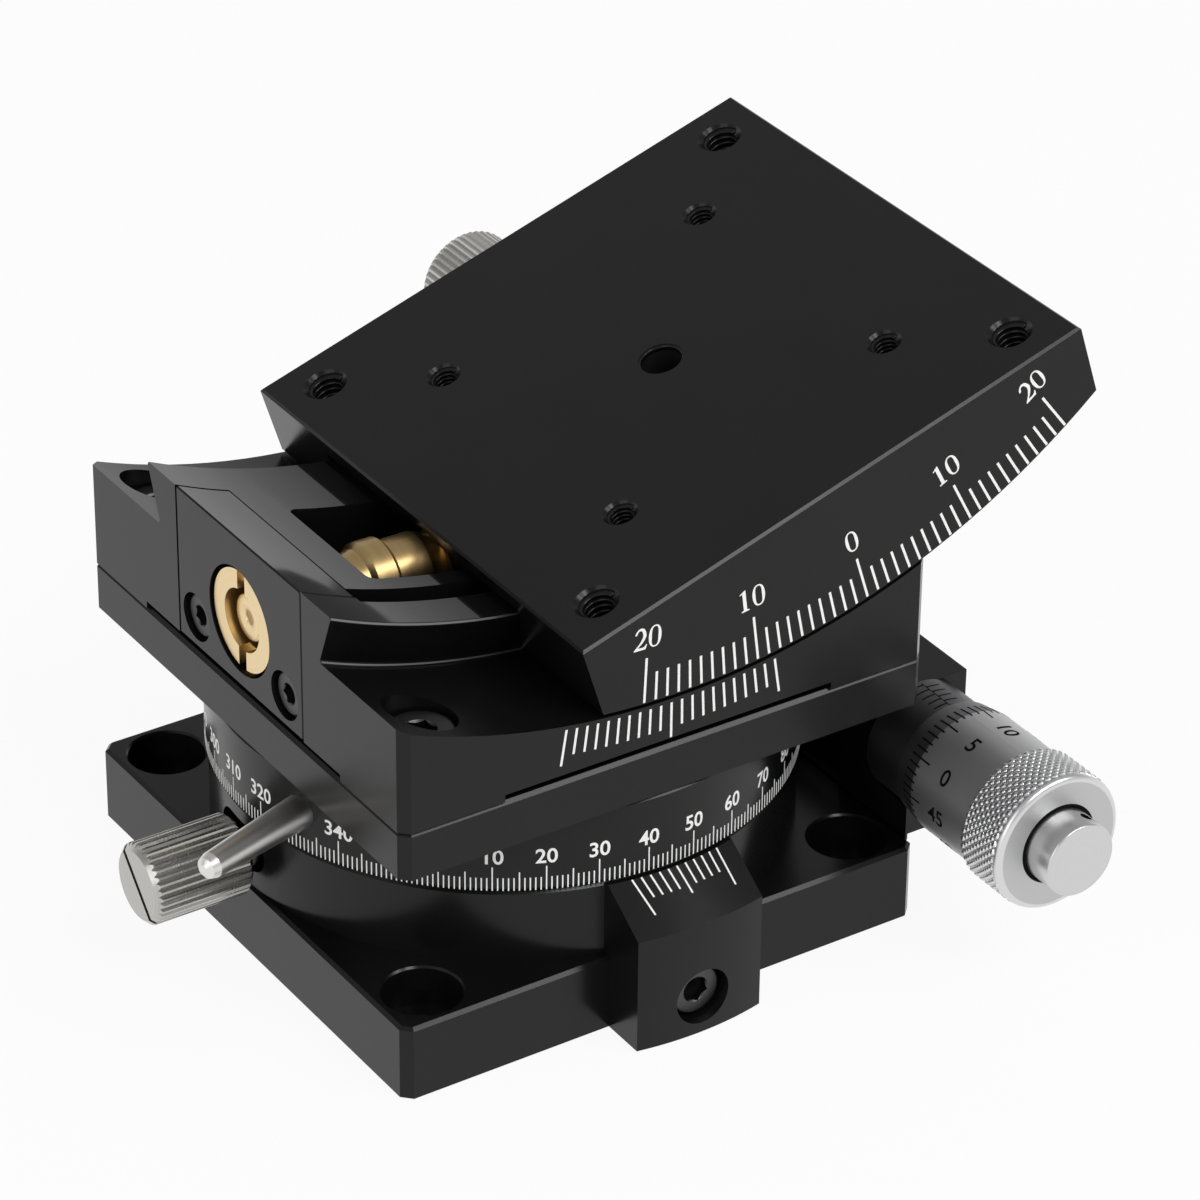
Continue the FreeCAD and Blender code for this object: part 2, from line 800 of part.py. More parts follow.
def tilt_body():
    foot, bevel = dovetail_foot_bevel, dovetail_top_bevel
    right = [(dovetail_top - bevel, rib_radius), (flank_across(rib_radius + bevel), rib_radius + bevel),
             (flank_across(shelf_radius - foot), shelf_radius - foot),
             (dovetail_foot + foot, shelf_radius), (half + 1, shelf_radius), (half + 1, deep_radius())]
    outline = right + [(-across, radius) for across, radius in reversed(right)]
    block = arc_band(outline).common(bevelled_column(plate_top, centre_z))
    floor = plate_top + body_relief_depth
    reach = half - body_pad
    channel_bottom = plate_top + channel_floor
    cover_start = half - cover_thickness
    channel = box((-channel_half_length, channel_half_length), (-channel_half_width, channel_half_width),
                  (channel_bottom, centre_z))
    cuts = [
        box((-half - 1, half + 1), (-reach, reach), (plate_top - 1, floor)),
        box((-reach, reach), (-half - 1, half + 1), (plate_top - 1, floor)),
        channel.makeFillet(channel_corner, upright_edges(channel)),
        box((-cover_start, cover_start), (-slit_outer, -slit_inner),
            (centre_z - rib_radius - slit_depth + 3, centre_z)),
        rod("x", bush_radius, -half, half, (0, worm_z)),
    ]
    for end in (-1, 1):
        x = sorted((end * cover_start, end * (half + 1)))
        cuts.append(box(x, (-cover_width / 2, cover_width / 2), (plate_top - 1, centre_z)))
        for y in (-cover_screw_span / 2, cover_screw_span / 2):
            hole_end = cover_start - thread_bite - thread_room
            cuts.append(rod("x", M25["shank"], end * cover_start, end * hole_end, (y, cover_screw_z())))
    for place in beside(corner_hole_spacing):
        cuts.append(rod("z", M4["shank"] + screw_hole_clearance, plate_top - 1, centre_z, place))
        cuts.append(rod("z", body_counterbore_radius, plate_top + body_counterbore_seat, centre_z, place))
    return less(block, cuts)


def tilt_body_screws():
    seat = plate_top + body_counterbore_seat
    return Part.Compound([cap_screw(M4, "z", seat, plate_bottom + 0.5, place)
                          for place in beside(corner_hole_spacing)])


def cover_screw_z():
    return plate_top + cover_screw_height


def cover(end, bore, recess_radius, recess_depth):
    """End cover of the worm, its top following the arc of the dovetail."""
    start = half - cover_thickness
    across = cover_width / 2 - cover_fit
    x = sorted((end * start, end * half))
    block = box(x, (-across, across), (plate_top + body_relief_depth, centre_z))
    block = block.common(arc_band([(-half, rib_radius), (half, rib_radius), (half, deep_radius()),
                                   (-half, deep_radius())])).Solids[0]
    block = block.makeChamfer(cover_bevel, block.Edges)
    at = (0, worm_z)
    cuts = [rod("x", bore, end * (start - 1), end * (half + 1), at)]
    if recess_depth > 0:
        cuts.append(rod("x", recess_radius, end * (half - recess_depth), end * (half + 1), at))
    for y in (-cover_screw_span / 2, cover_screw_span / 2):
        place = (y, cover_screw_z())
        cuts.append(rod("x", M25["shank"] + screw_hole_clearance, end * (start - 1), end * half, place))
        cuts.append(rod("x", M25["head"] + head_clearance, end * cover_screw_seat(), end * (half + 1),
                        place))
    return less(block, cuts)


def cover_screw_seat():
    return half - M25["height"] - 0.5


def cover_screws(end):
    tip = half - cover_thickness - thread_bite
    return Part.Compound([cap_screw(M25, "x", end * cover_screw_seat(), end * tip, (y, cover_screw_z()))
                          for y in (-cover_screw_span / 2, cover_screw_span / 2)])


def front_cover():
    depth = ring_nut_flange + ring_nut_recess
    return cover(-1, ring_nut_thread_radius, ring_nut_radius + 0.4, depth)


def rear_cover():
    return cover(1, worm_journal_radius + 0.3, 0, 0)


def worm_ring_nut():
    face = -half + ring_nut_recess
    shoulder = face + ring_nut_flange
    thread_end = -(half - cover_thickness) - running_clearance
    at = (0, worm_z)
    nut = fused([rod("x", ring_nut_radius, face, shoulder, at),
                 rod("x", ring_nut_thread_radius, shoulder, thread_end, at)])
    slot = box((face - 1, face + 1.2), (-ring_nut_slot / 2, ring_nut_slot / 2),
               (worm_z - ring_nut_radius - 1, worm_z + ring_nut_radius + 1))
    return less(nut, [rod("x", ring_nut_bore, face - 1, thread_end + 1, at), slot])


def bush(end):
    bore = worm_journal_radius + running_clearance
    start, stop = end * channel_half_length, end * (half - cover_thickness)
    return tube("x", bush_radius, bore, start, stop, (0, worm_z))


def thrust_washer(end):
    start = channel_half_length - thrust_washer_thickness
    return tube("x", thrust_washer_radius, worm_journal_radius + running_clearance, end * start,
                end * channel_half_length, (0, worm_z))


def worm_thread():
    """Right-hand thread of the worm along +X, turned so that it meshes at the rest tilt."""
    half_pitch_width = worm_lead / 4 - mesh_backlash / 4
    slope = math.tan(math.radians(pressure_angle))
    root_width = half_pitch_width + (tooth_dedendum + 0.2) * slope
    tip_width = half_pitch_width - tooth_addendum * slope
    root, tip = worm_root_radius - 0.2, worm_tip_radius
    turns = 2 * math.ceil(worm_thread_length / worm_lead / 2) + 2
    helix = Part.makeHelix(worm_lead, worm_lead * turns, worm_pitch_radius)
    points = [V(root, 0, -root_width), V(tip, 0, -tip_width), V(tip, 0, tip_width),
              V(root, 0, root_width)]
    profile = Part.makePolygon(points + points[:1])
    thread = Part.Wire(helix.Edges).makePipeShell([profile], True, True)
    thread = upright(thread)
    thread.translate(V(0, 0, -worm_lead * turns / 2))
    thread.rotate(V(0, 0, 0), V(0, 1, 0), 90)
    thread.rotate(V(0, 0, 0), V(1, 0, 0), -tilt_rest * worm_ratio)
    thread.translate(V(0, 0, worm_z))
    reach = worm_thread_length / 2
    length = worm_lead * turns
    ends = [box((end * reach, end * length) if end > 0 else (end * length, end * reach),
                (-half, half), (0, 2 * worm_z)) for end in (-1, 1)]
    return less(thread, ends)


def worm_side():
    """Outline of the shaft from the end of its thread out to its shoulder: neck, collar and cone."""
    shoulder = channel_half_length - thrust_washer_thickness - running_clearance
    neck_start = worm_thread_length / 2 + worm_runout
    collar_start = neck_start + worm_neck_length
    collar_end = collar_start + worm_collar_length
    edge = worm_collar_radius - worm_collar_bevel
    return [(worm_root_radius, worm_thread_length / 2), (worm_neck_radius, neck_start),
            (worm_neck_radius, collar_start), (edge, collar_start),
            (worm_collar_radius, collar_start + worm_collar_bevel),
            (worm_collar_radius, collar_end - worm_collar_bevel), (edge, collar_end),
            (worm_cone_radius, shoulder), (worm_journal_radius, shoulder)]


def worm_shaft():
    front = -half + worm_end_recess
    back = half + worm_knob_gap + worm_knob_length - 1
    outline = [(0, front), (worm_journal_radius - 0.3, front), (worm_journal_radius, front + 0.3)]
    outline += [(radius, -along) for radius, along in reversed(worm_side())]
    outline += worm_side() + [(worm_journal_radius, back), (0, back)]
    return fused([turned("x", outline, (0, worm_z)), worm_thread()])


def worm_knob():
    at = (0, worm_z)
    start = half + worm_knob_gap
    end = start + worm_knob_length
    knob = knurled("x", worm_knob_radius, start, end, worm_knob_ridges, 0.35, 0.7, at)
    bore = rod("x", worm_journal_radius, start - 1, end - 1, at)
    dish = rod("x", worm_knob_radius - 1.6, end - 0.4, end + 1, at)
    screw = rod("z", M2["shank"], worm_z, worm_z + worm_knob_radius + 1, (start + 3, 0))
    return less(knob, [bore, dish, screw])


def worm_knob_set_screw():
    start = half + worm_knob_gap
    low, high = worm_z + worm_journal_radius, worm_z + worm_knob_radius - 0.6
    at = (start + 3, 0)
    return rod("z", M2["shank"], low, high, at).cut(hexagon("z", 1.0, high - 1.2, high + 1, at))


def stage_groove():
    """Female dovetail under the stage, clear of the male one by the flank gap."""
    deep = stage_arc_radius + dovetail_height
    outer = flank_across(deep) + flank_gap
    top = flank_across(groove_radius) + flank_gap
    return arc_band([(-outer, deep), (outer, deep), (top, groove_radius), (-top, groove_radius)])


def ring_strip(across, inner, outer, half_sweep):
    """Strip about the tilt axis, as wide to the left as to the right."""
    return arc_band([(-across, outer), (across, outer), (across, inner), (-across, inner)], half_sweep)


def below(depth):
    """Everything deeper than a distance under the turning centre of the level stage."""
    return box((-half - 5, half + 5), (-half, half), (0, centre_z - depth))


def sector_slot():
    """Slot in the roof of the groove: wide for the flange, narrow for the teeth and the worm."""
    inner = sector_back_radius - sector_slot_clearance
    wide = ring_strip(sector_flange_width / 2 + sector_slot_clearance, inner, groove_radius + 1,
                      sector_flange_angle + 0.3)
    narrow = ring_strip(sector_slot_width / 2, inner, groove_radius + 1, arc_sweep)
    return fused([wide, narrow]).common(below(sector_back_depth - sector_slot_clearance))


def tapped(x, y, radius, mouth, depth):
    """Hole from the top of the level stage, with a bevelled mouth."""
    top = centre_z - stage_to_centre
    tip = top - depth - radius * 0.6
    outline = [(0, top + 1), (mouth + 1, top + 1), (radius, top + radius - mouth), (radius, top - depth),
               (0, tip)]
    return turned("z", outline, (x, y))


def tilt_stage():
    top = centre_z - stage_to_centre
    column = box((-half, half), (-half, half), (centre_z - stage_arc_radius - 1, top))
    column = column.makeChamfer(stage_bevel, top_edges(column, top))
    band = ring_strip(half + 1, stage_to_centre / 2, stage_arc_radius, arc_sweep)
    cuts = [stage_groove(), sector_slot()]
    cuts += [tapped(x, y, stage_hole_radius, stage_hole_mouth, stage_hole_depth)
             for x, y in beside(corner_hole_spacing)]
    cuts += [tapped(x, y, stage_inner_radius, stage_inner_mouth, stage_inner_depth)
             for x, y in beside(stage_inner_spacing)]
    cuts.append(rod("z", stage_centre_radius, top - stage_centre_depth, top + 1))
    cuts.append(rod("y", clamp_screw_radius, 0, half + 1, (0, clamp_screw_z())))
    for x, y, z, angle in sector_screw_places():
        cuts.append(about_centre(rod("z", M2["shank"], z, z + sector_screw_length + 0.2, (0, y)), angle))
    return about_centre(less(column.common(band), cuts), tilt_rest)


def clamp_screw_z():
    return centre_z - clamp_screw_depth


def sector_screw_places():
    """Across, height and tilt of each screw that holds the sector to the stage."""
    seat = centre_z - sector_back_radius - sector_flange_thickness
    return [(0, y, seat, angle) for angle in (-sector_screw_angle, sector_screw_angle)
            for y in (-sector_screw_offset, sector_screw_offset)]


def tooth_outline(shift):
    """Closed outline of the toothed rim in the middle plane, turned by a shift in degrees."""
    pitch_angle = 360.0 / worm_ratio
    slope = math.tan(math.radians(pressure_angle))
    width = worm_lead / 4 - mesh_backlash / 4
    tip, root = sector_pitch_radius + tooth_addendum, sector_pitch_radius - tooth_dedendum
    inner = sector_back_radius
    polar = []
    for tooth in range(-sector_half_teeth, sector_half_teeth + 1):
        middle = tooth * pitch_angle
        root_reach = math.degrees((width + tooth_dedendum * slope) / sector_pitch_radius)
        tip_reach = math.degrees((width - tooth_addendum * slope) / sector_pitch_radius)
        polar += [(root, middle - root_reach), (tip, middle - tip_reach),
                  (tip, middle + tip_reach), (root, middle + root_reach)]
    limit = (sector_half_teeth + 0.5) * pitch_angle
    polar = [(inner, -limit), (root, -limit)] + polar + [(root, limit), (inner, limit)]
    steps = 24
    polar += [(inner, limit - 2 * limit * step / steps) for step in range(1, steps)]
    points = []
    for radius, degrees in polar:
        angle = math.radians(degrees + shift)
        points.append((radius * math.sin(angle), centre_z - radius * math.cos(angle)))
    return points


def toothed_sector():
    half_face = sector_face_width / 2
    shift = math.degrees(half_face * math.tan(math.radians(lead_angle)) / sector_pitch_radius)
    wires = []
    for y, turn in ((-half_face, shift), (half_face, -shift)):
        points = [V(x, y, z) for x, z in tooth_outline(turn)]
        wires.append(Part.makePolygon(points + points[:1]))
    rim = upright(Part.makeLoft(wires, True, True))
    flange = ring_strip(sector_flange_width / 2, sector_back_radius,
                        sector_back_radius + sector_flange_thickness, sector_flange_angle)
    rim = rim.common(below(sector_back_depth))
    cuts = []
    for x, y, z, angle in sector_screw_places():
        top = z + sector_flange_thickness + 1
        hole = rod("z", M2["shank"] + screw_hole_clearance, z - 1, top, (x, y))
        cuts.append(about_centre(hole, angle))
    return about_centre(less(fused([flange, rim]), cuts), tilt_rest)


def sector_screws():
    screws = []
    for x, y, z, angle in sector_screw_places():
        screw = cap_screw(M2, "z", z, z + sector_screw_length, (x, y))
        screws.append(about_centre(screw, angle + tilt_rest))
    return Part.Compound(screws)


def stage_clamp_shoe():
    start = flank_across(clamp_screw_depth) + flank_gap
    shoe = rod("y", clamp_screw_radius - 0.02, start - 2, start + clamp_shoe_length, (0, clamp_screw_z()))
    return about_centre(shoe.cut(stage_groove()), tilt_rest)


def tilt_clamp_screw():
    at = (0, clamp_screw_z())
    start = flank_across(clamp_screw_depth) + flank_gap + clamp_shoe_length
    root = half + clamp_knob_gap
    tip = root + clamp_knob_length
    knob = knurled("y", clamp_knob_radius, root, tip, clamp_knob_ridges, 0.3, 0.6, at)
    shank = rod("y", clamp_screw_radius - 0.02, start, root + 1, at)
    return about_centre(fused([knob, shank]), tilt_rest)


PARTS = {
    "base_housing": base_housing,
    "bearing_inner_race": bearing_inner_race,
    "bearing_outer_race": bearing_outer_race,
    "bearing_balls": bearing_balls,
    "vernier_block": vernier_block,
    "vernier_screw": vernier_screw,
    "micrometer_bracket": micrometer_bracket,
    "bracket_screws": bracket_screws,
    "micrometer_barrel": micrometer_barrel,
    "stem_screw": stem_screw,
    "micrometer_spindle": micrometer_spindle,
    "micrometer_thimble": micrometer_thimble,
    "thimble_knurl": thimble_knurl,
    "thimble_end_knob": thimble_end_knob,
    "plunger_barrel": plunger_barrel,
    "plunger_pin": plunger_pin,
    "plunger_spring": plunger_spring,
    "clamp_ring": clamp_ring,
    "clamp_shoe": clamp_shoe,
    "lock_screw": lock_screw,
    "scale_ring": scale_ring,
    "table_lever": table_lever,
    "top_plate": top_plate,
    "plate_screws": plate_screws,
    "tilt_body": tilt_body,
    "tilt_body_screws": tilt_body_screws,
    "front_cover": front_cover,
    "front_cover_screws": lambda: cover_screws(-1),
    "rear_cover": rear_cover,
    "rear_cover_screws": lambda: cover_screws(1),
    "worm_ring_nut": worm_ring_nut,
    "front_bush": lambda: bush(-1),
    "rear_bush": lambda: bush(1),
    "front_thrust_washer": lambda: thrust_washer(-1),
    "rear_thrust_washer": lambda: thrust_washer(1),
    "worm_shaft": worm_shaft,
    "worm_knob": worm_knob,
    "worm_knob_set_screw": worm_knob_set_screw,
    "tilt_stage": tilt_stage,
    "toothed_sector": toothed_sector,
    "sector_screws": sector_screws,
    "stage_clamp_shoe": stage_clamp_shoe,
    "tilt_clamp_screw": tilt_clamp_screw,
}

os.makedirs("parts", exist_ok=True)
for name, make in PARTS.items():
    shape = make()
    shape.exportStep(f"parts/{name}.step")
    print(f"{name:22s} solids {len(shape.Solids):2d} volume {shape.Volume:10.2f} valid {shape.isValid()}")
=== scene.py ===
from contextlib import contextmanager
import json
import math

import bmesh
import bpy
from mathutils import Matrix, Vector


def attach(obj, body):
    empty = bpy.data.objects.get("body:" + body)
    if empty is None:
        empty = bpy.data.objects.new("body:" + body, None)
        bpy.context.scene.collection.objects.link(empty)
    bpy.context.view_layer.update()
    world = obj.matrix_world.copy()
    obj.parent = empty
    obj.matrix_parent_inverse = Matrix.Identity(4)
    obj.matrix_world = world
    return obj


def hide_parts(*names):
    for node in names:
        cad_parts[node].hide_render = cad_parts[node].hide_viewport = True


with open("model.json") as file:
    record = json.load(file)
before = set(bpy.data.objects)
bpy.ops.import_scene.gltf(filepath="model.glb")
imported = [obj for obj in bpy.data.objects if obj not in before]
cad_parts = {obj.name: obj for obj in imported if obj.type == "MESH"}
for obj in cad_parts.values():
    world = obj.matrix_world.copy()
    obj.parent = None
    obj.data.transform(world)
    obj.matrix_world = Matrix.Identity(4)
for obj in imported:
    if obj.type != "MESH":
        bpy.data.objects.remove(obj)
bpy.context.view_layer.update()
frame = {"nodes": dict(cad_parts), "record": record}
nodes = frame["nodes"]

MM = 0.001
TO_METRES = Matrix.Diagonal((MM, MM, MM, 1))
QUARTER = math.pi / 2

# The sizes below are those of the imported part, in millimetres and degrees.
# Tilt of the stage at rest, height of its turning centre, and distances down from that centre
TILT_REST = 17.6
CENTRE_Z = 111.2
STAGE_TOP = 60.9
SLIDE_ARC = 70.3
STAGE_ARC = 75.2
SHELF_ARC = 75.6

# Side of the stage and of the body under it that carries their scales
SIDE_Y = -30.0

# Scale ring of the table, and the two ends of the vernier block's slope as radius and height
RING_RADIUS = 30.0
RING_BOTTOM = 16.6
RING_ZERO = -134.26
VERNIER_OUTER = (35.6, 12.75)
VERNIER_INNER = (30.3, 16.4)

# Tapped holes of the stage and the hole in its middle
CORNER_HOLE = 25.0
CORNER_HOLE_RADIUS = 1.65
INNER_HOLE = 16.1
INNER_HOLE_RADIUS = 1.25
CENTRE_HOLE_RADIUS = 2.299

# Axes of the screws and of the worm, and the end of the worm's shaft
LOCK_AXIS = (0, 0, 12.3)
TILT_LOCK_AXIS = (21.77, 0, 42.57)
WORM_Z = 38.5
WORM_AXIS = (0, 0, WORM_Z)
WORM_END = -29.0

# Micrometer: its axis, then its places along Y from the lug outwards, and its radii
MICROMETER_X = 34.4
MICROMETER_Z = 16.4
MICROMETER_AXIS = (MICROMETER_X, 0, MICROMETER_Z)
BARREL_FACE = -23.4
BARREL_RADIUS = 6.1
THIMBLE_EDGE = -29.0
THIMBLE_TAPER = 3.0
THIMBLE_EDGE_RADIUS = 6.45
THIMBLE_RADIUS = 6.9
KNURL_START = -40.7
KNURL_END = -46.5
KNURL_RADIUS = 7.5
THIMBLE_END = -47.0
END_KNOB_RADIUS = 3.95

# How far painted lines stand over their surface, and the angle under which an edge is shaded smooth
LINE_LIFT = 0.012
SMOOTH_ANGLE = math.radians(35)

# Corners of a swept mesh that lie closer than this, in millimetres, are one corner
WELD = 0.0001


def linear(hex_colour):
    """Linear colour of an sRGB hex value."""
    parts = [int(hex_colour[i:i + 2], 16) / 255 for i in (1, 3, 5)]
    return [c / 12.92 if c <= 0.04045 else ((c + 0.055) / 1.055) ** 2.4 for c in parts] + [1.0]


def add(tree, kind, inputs=None, **settings):
    """A node of a kind, with its settings and with its inputs set or linked."""
    made = tree.nodes.new("ShaderNode" + kind)
    for name, value in settings.items():
        setattr(made, name, value)
    for socket, value in (inputs or {}).items():
        if isinstance(value, bpy.types.NodeSocket):
            tree.links.new(value, made.inputs[socket])
        else:
            made.inputs[socket].default_value = value
    return made


def material(name):
    """An empty material and its node tree."""
    made = bpy.data.materials.new(name)
    made.use_nodes = True
    made.node_tree.nodes.clear()
    return made, made.node_tree


def grain(tree, size_mm):
    """Noise whose lumps have a size in millimetres, in object coordinates."""
    place = add(tree, "TexCoord")
    noise = add(tree, "TexNoise", {"Vector": place.outputs["Object"], "Scale": 1 / (size_mm * MM),
                                   "Detail": 3.0})
    return noise.outputs["Fac"]


def moved_from(tree, centre):
    """Object coordinates, in metres, that count from a centre given in millimetres."""
    place = add(tree, "TexCoord")
    moved = add(tree, "Mapping", {"Vector": place.outputs["Object"],
                                  "Location": [-c * MM for c in centre]})
    return moved.outputs[0]


def distance(tree, parts, first, second):
    """Length of the flat vector that two parts of a split vector make."""
    flat = add(tree, "CombineXYZ", {0: parts.outputs[first], 1: parts.outputs[second]})
    return add(tree, "VectorMath", {0: flat.outputs[0]}, operation="LENGTH").outputs["Value"]


def turned_lines(tree, centre, axis, pitch_mm):
    """Noise that only changes along an axis and away from it, as a lathe leaves its lines."""
    turn = {"x": (0, QUARTER, 0), "y": (QUARTER, 0, 0)}[axis]
    level = add(tree, "Mapping", {"Vector": moved_from(tree, centre), "Rotation": turn})
    split = add(tree, "SeparateXYZ", {0: level.outputs[0]})
    across = add(tree, "CombineXYZ", {0: distance(tree, split, 0, 1), 1: split.outputs[2]})
    noise = add(tree, "TexNoise", {"Vector": across.outputs[0], "Scale": 1 / (pitch_mm * MM),
                                   "Detail": 2.0})
    return noise.outputs["Fac"]


def tilt_distance(tree):
    """Distance from the turning axis of the stage, in metres."""
    split = add(tree, "SeparateXYZ", {0: moved_from(tree, (0, 0, CENTRE_Z))})
    return distance(tree, split, 0, 2)


def shade(tree, share, colours):
    """Colour between two hex values."""
    mix = add(tree, "Mix", {0: share, 6: linear(colours[0]), 7: linear(colours[1])},
              data_type="RGBA")
    return mix.outputs[2]


def spread(tree, share, low, high):
    """Value between two limits."""
    return add(tree, "MapRange", {0: share, 3: low, 4: high}).outputs[0]


def finish_material(tree, colour, roughness, traits, relief=None):
    """Ends a material with its shader. Relief is a height, its strength and its depth in metres."""
    inputs = {"Base Color": colour, "Roughness": roughness, **traits}
    if relief:
        height, strength, depth = relief
        bump = add(tree, "Bump", {"Strength": strength, "Distance": depth, "Height": height})
        inputs["Normal"] = bump.outputs[0]
    shader = add(tree, "BsdfPrincipled", inputs)
    add(tree, "OutputMaterial", {"Surface": shader.outputs[0]})


def black_anodised(name, lapped=False):
    """Milled and fine-blasted aluminium, dyed black and anodised: near black where it faces the
    eye, greyer where the light grazes it, with a very fine grain and faint clouds in its gloss.
    A lapped part has an arc that the stage slides on, smooth enough to mirror it."""
    made, tree = material(name)
    height = grain(tree, 0.12)
    cloud = grain(tree, 11.0)
    rough = spread(tree, cloud, 0.19, 0.25)
    if lapped:
        off_arc = add(tree, "MapRange", {0: tilt_distance(tree), 1: SLIDE_ARC * MM,
                                         2: (SLIDE_ARC + 0.3) * MM}).outputs[0]
        rough = add(tree, "Mix", {0: off_arc, 2: 0.045, 3: rough}, data_type="FLOAT").outputs[0]
        height = add(tree, "Math", {0: height, 1: off_arc}, operation="MULTIPLY").outputs[0]
    finish_material(tree, shade(tree, cloud, ("#0d0d0e", "#131314")), rough,
                    {"Metallic": 0.0, "Specular IOR Level": 0.24}, (height, 0.1, 0.00002))
    return made


def turned_metal(name, colours, roughness, centre, axis, pitch_mm=0.2, strength=0.12):
    """Metal as it leaves the lathe: fine rings round its axis that draw the highlight out."""
    made, tree = material(name)
    lines = turned_lines(tree, centre, axis, pitch_mm)
    finish_material(tree, shade(tree, lines, colours),
                    spread(tree, lines, roughness - 0.05, roughness + 0.07),
                    {"Metallic": 1.0}, (lines, strength, 0.00002))
    return made


def even_metal(name, colours, roughness, parting=None):
    """Metal with an even surface: satin chrome, ground or oxidised steel. Its colours mix with
    its grain, unless a function parts them."""
    made, tree = material(name)
    fine = grain(tree, 0.08)
    finish_material(tree, shade(tree, parting(tree) if parting else fine, colours),
                    spread(tree, fine, roughness - 0.04, roughness + 0.06),
                    {"Metallic": 1.0}, (fine, 0.1, 0.00001))
    return made


def cone_of_thimble(tree):
    """One on the cone of the thimble and nothing on the grip behind it."""
    place = add(tree, "TexCoord")
    split = add(tree, "SeparateXYZ", {0: place.outputs["Object"]})
    border = THIMBLE_EDGE - THIMBLE_TAPER
    step = add(tree, "MapRange", {0: split.outputs[1], 1: (border - 0.1) * MM,
                                  2: (border + 0.1) * MM})
    return step.outputs[0]


def enamel(name, colours, roughness=0.7, gloss=0.2):
    """Paint rubbed into an engraved line: flat, opaque and a little uneven."""
    made, tree = material(name)
    finish_material(tree, shade(tree, grain(tree, 0.2), colours), roughness,
                    {"Specular IOR Level": gloss})
    return made


# Near black, with a soft grey sheen where the light grazes it
ANODISED = black_anodised("black_anodised_aluminium")
# The same black, with an arc that mirrors the stage's edge
LAPPED = black_anodised("black_anodised_aluminium_lapped_arc", lapped=True)
# Silky pale grey that blurs what it reflects
CHROME = even_metal("satin_chrome", ("#bcbcbd", "#c8c8c9"), 0.44)
# The same silk on the grip; the cone is painted darker, a painted reflection of the dark body round
# it
THIMBLE = even_metal("satin_chrome_thimble_painted_dark_cone", ("#c2c2c3", "#707072"), 0.44, cone_of_thimble)
# Painted shade: the same silk painted darker, which sets the barrel back behind the thimble
BARREL = even_metal("satin_chrome_barrel_painted_shade", ("#58585a", "#646466"), 0.44)
# Light grey with a clear highlight
GROUND = even_metal("ground_steel", ("#b4b4b5", "#c6c6c6"), 0.3)
# Painted highlight: a thin grey glint along an edge
EDGE_HIGHLIGHT = even_metal("painted_edge_highlight", ("#7c7c7e", "#8a8a8c"), 0.35)
# Painted highlight: chrome painted brighter on the tips of the knurl and the rim of the thimble,
# where they catch the light
RIM = even_metal("chrome_with_painted_highlight", ("#d4d4d5", "#dededf"), 0.3)
# Painted shade: darker chrome in the net of grooves between the tips of the knurl
GROOVE = even_metal("painted_shade_in_knurl_grooves", ("#2a2a2c", "#363638"), 0.6)
# Charcoal screw heads with a weak metallic shine
OXIDE = even_metal("black_oxide_steel", ("#4c4c4d", "#585859"), 0.4)
# Painted shade: black that returns no light, for the insides of holes, sockets and gaps
SHADOW = enamel("unlit_inside_of_a_deep_hole", ("#050505", "#080808"), 0.8, 0.1)
# Crisp white on the black parts, and crisp black on the chrome
WHITE = enamel("white_line_paint", ("#f0f0ee", "#fafaf8"))
BLACK = enamel("black_line_paint", ("#0a0a0b", "#101011"), 0.8, 0.05)
# Warm grey steel, its highlights drawn out round each screw's and knob's own axis
STAINLESS = ("#bab9b5", "#d2d0cc")
LOCK = turned_metal("turned_stainless_lock_screw", ("#a4a39f", "#c6c4c0"), 0.24, LOCK_AXIS, "x")
TILT_LOCK = turned_metal("turned_stainless_tilt_clamp", STAINLESS, 0.3, TILT_LOCK_AXIS, "y")
KNOB = turned_metal("turned_stainless_worm_knob", STAINLESS, 0.3, WORM_AXIS, "x")
END_KNOB = turned_metal("turned_steel_end_knob", ("#cacaca", "#d6d6d6"), 0.3, MICROMETER_AXIS, "y")
# Polished rod, paler than the turned screws
LEVER = even_metal("polished_stainless_lever", ("#dcdad6", "#e6e4e0"), 0.36)
# Mellow yellow of handled brass, and a paler yellow for the ring nut and the end of the shaft
BRASS = turned_metal("turned_brass", ("#ac9060", "#ccb07e"), 0.33, WORM_AXIS, "x", 0.15, 0.3)
PALE_BRASS = turned_metal("paler_turned_brass", ("#dec290", "#f4deb2"), 0.3, WORM_AXIS, "x", 0.3, 0.3)

FINISH = {
    "black_anodised": ANODISED,
    "stainless": LOCK,
    "steel": GROUND,
    "black_steel": OXIDE,
    "satin_chrome": CHROME,
    "brass": BRASS,
    "spring_steel": GROUND,
}
OWN_FINISH = {
    "lock_screw": LOCK,
    "table_lever": LEVER,
    "tilt_clamp_screw": TILT_LOCK,
    "worm_knob": KNOB,
    "thimble_end_knob": END_KNOB,
    "worm_ring_nut": PALE_BRASS,
    "tilt_body": LAPPED,
    "front_cover": LAPPED,
    "rear_cover": LAPPED,
    "micrometer_thimble": THIMBLE,
    "micrometer_barrel": BARREL,
}


def give(obj, *finishes):
    """Fills the material slots of an object."""
    obj.data.materials.clear()
    for finish in finishes:
        obj.data.materials.append(finish)


for part in frame["record"]["subparts"]:
    give(nodes[part["node"]], OWN_FINISH.get(part["node"], FINISH[part["material_slot"]]))


def select(*objects):
    """Selects these objects alone, the first of them as the active one."""
    for obj in bpy.context.selected_objects:
        obj.select_set(False)
    for obj in objects:
        obj.select_set(True)
    bpy.context.view_layer.objects.active = objects[0]


def linked(name, data):
    """A new object in the scene."""
    obj = bpy.data.objects.new(name, data)
    bpy.context.scene.collection.objects.link(obj)
    return obj


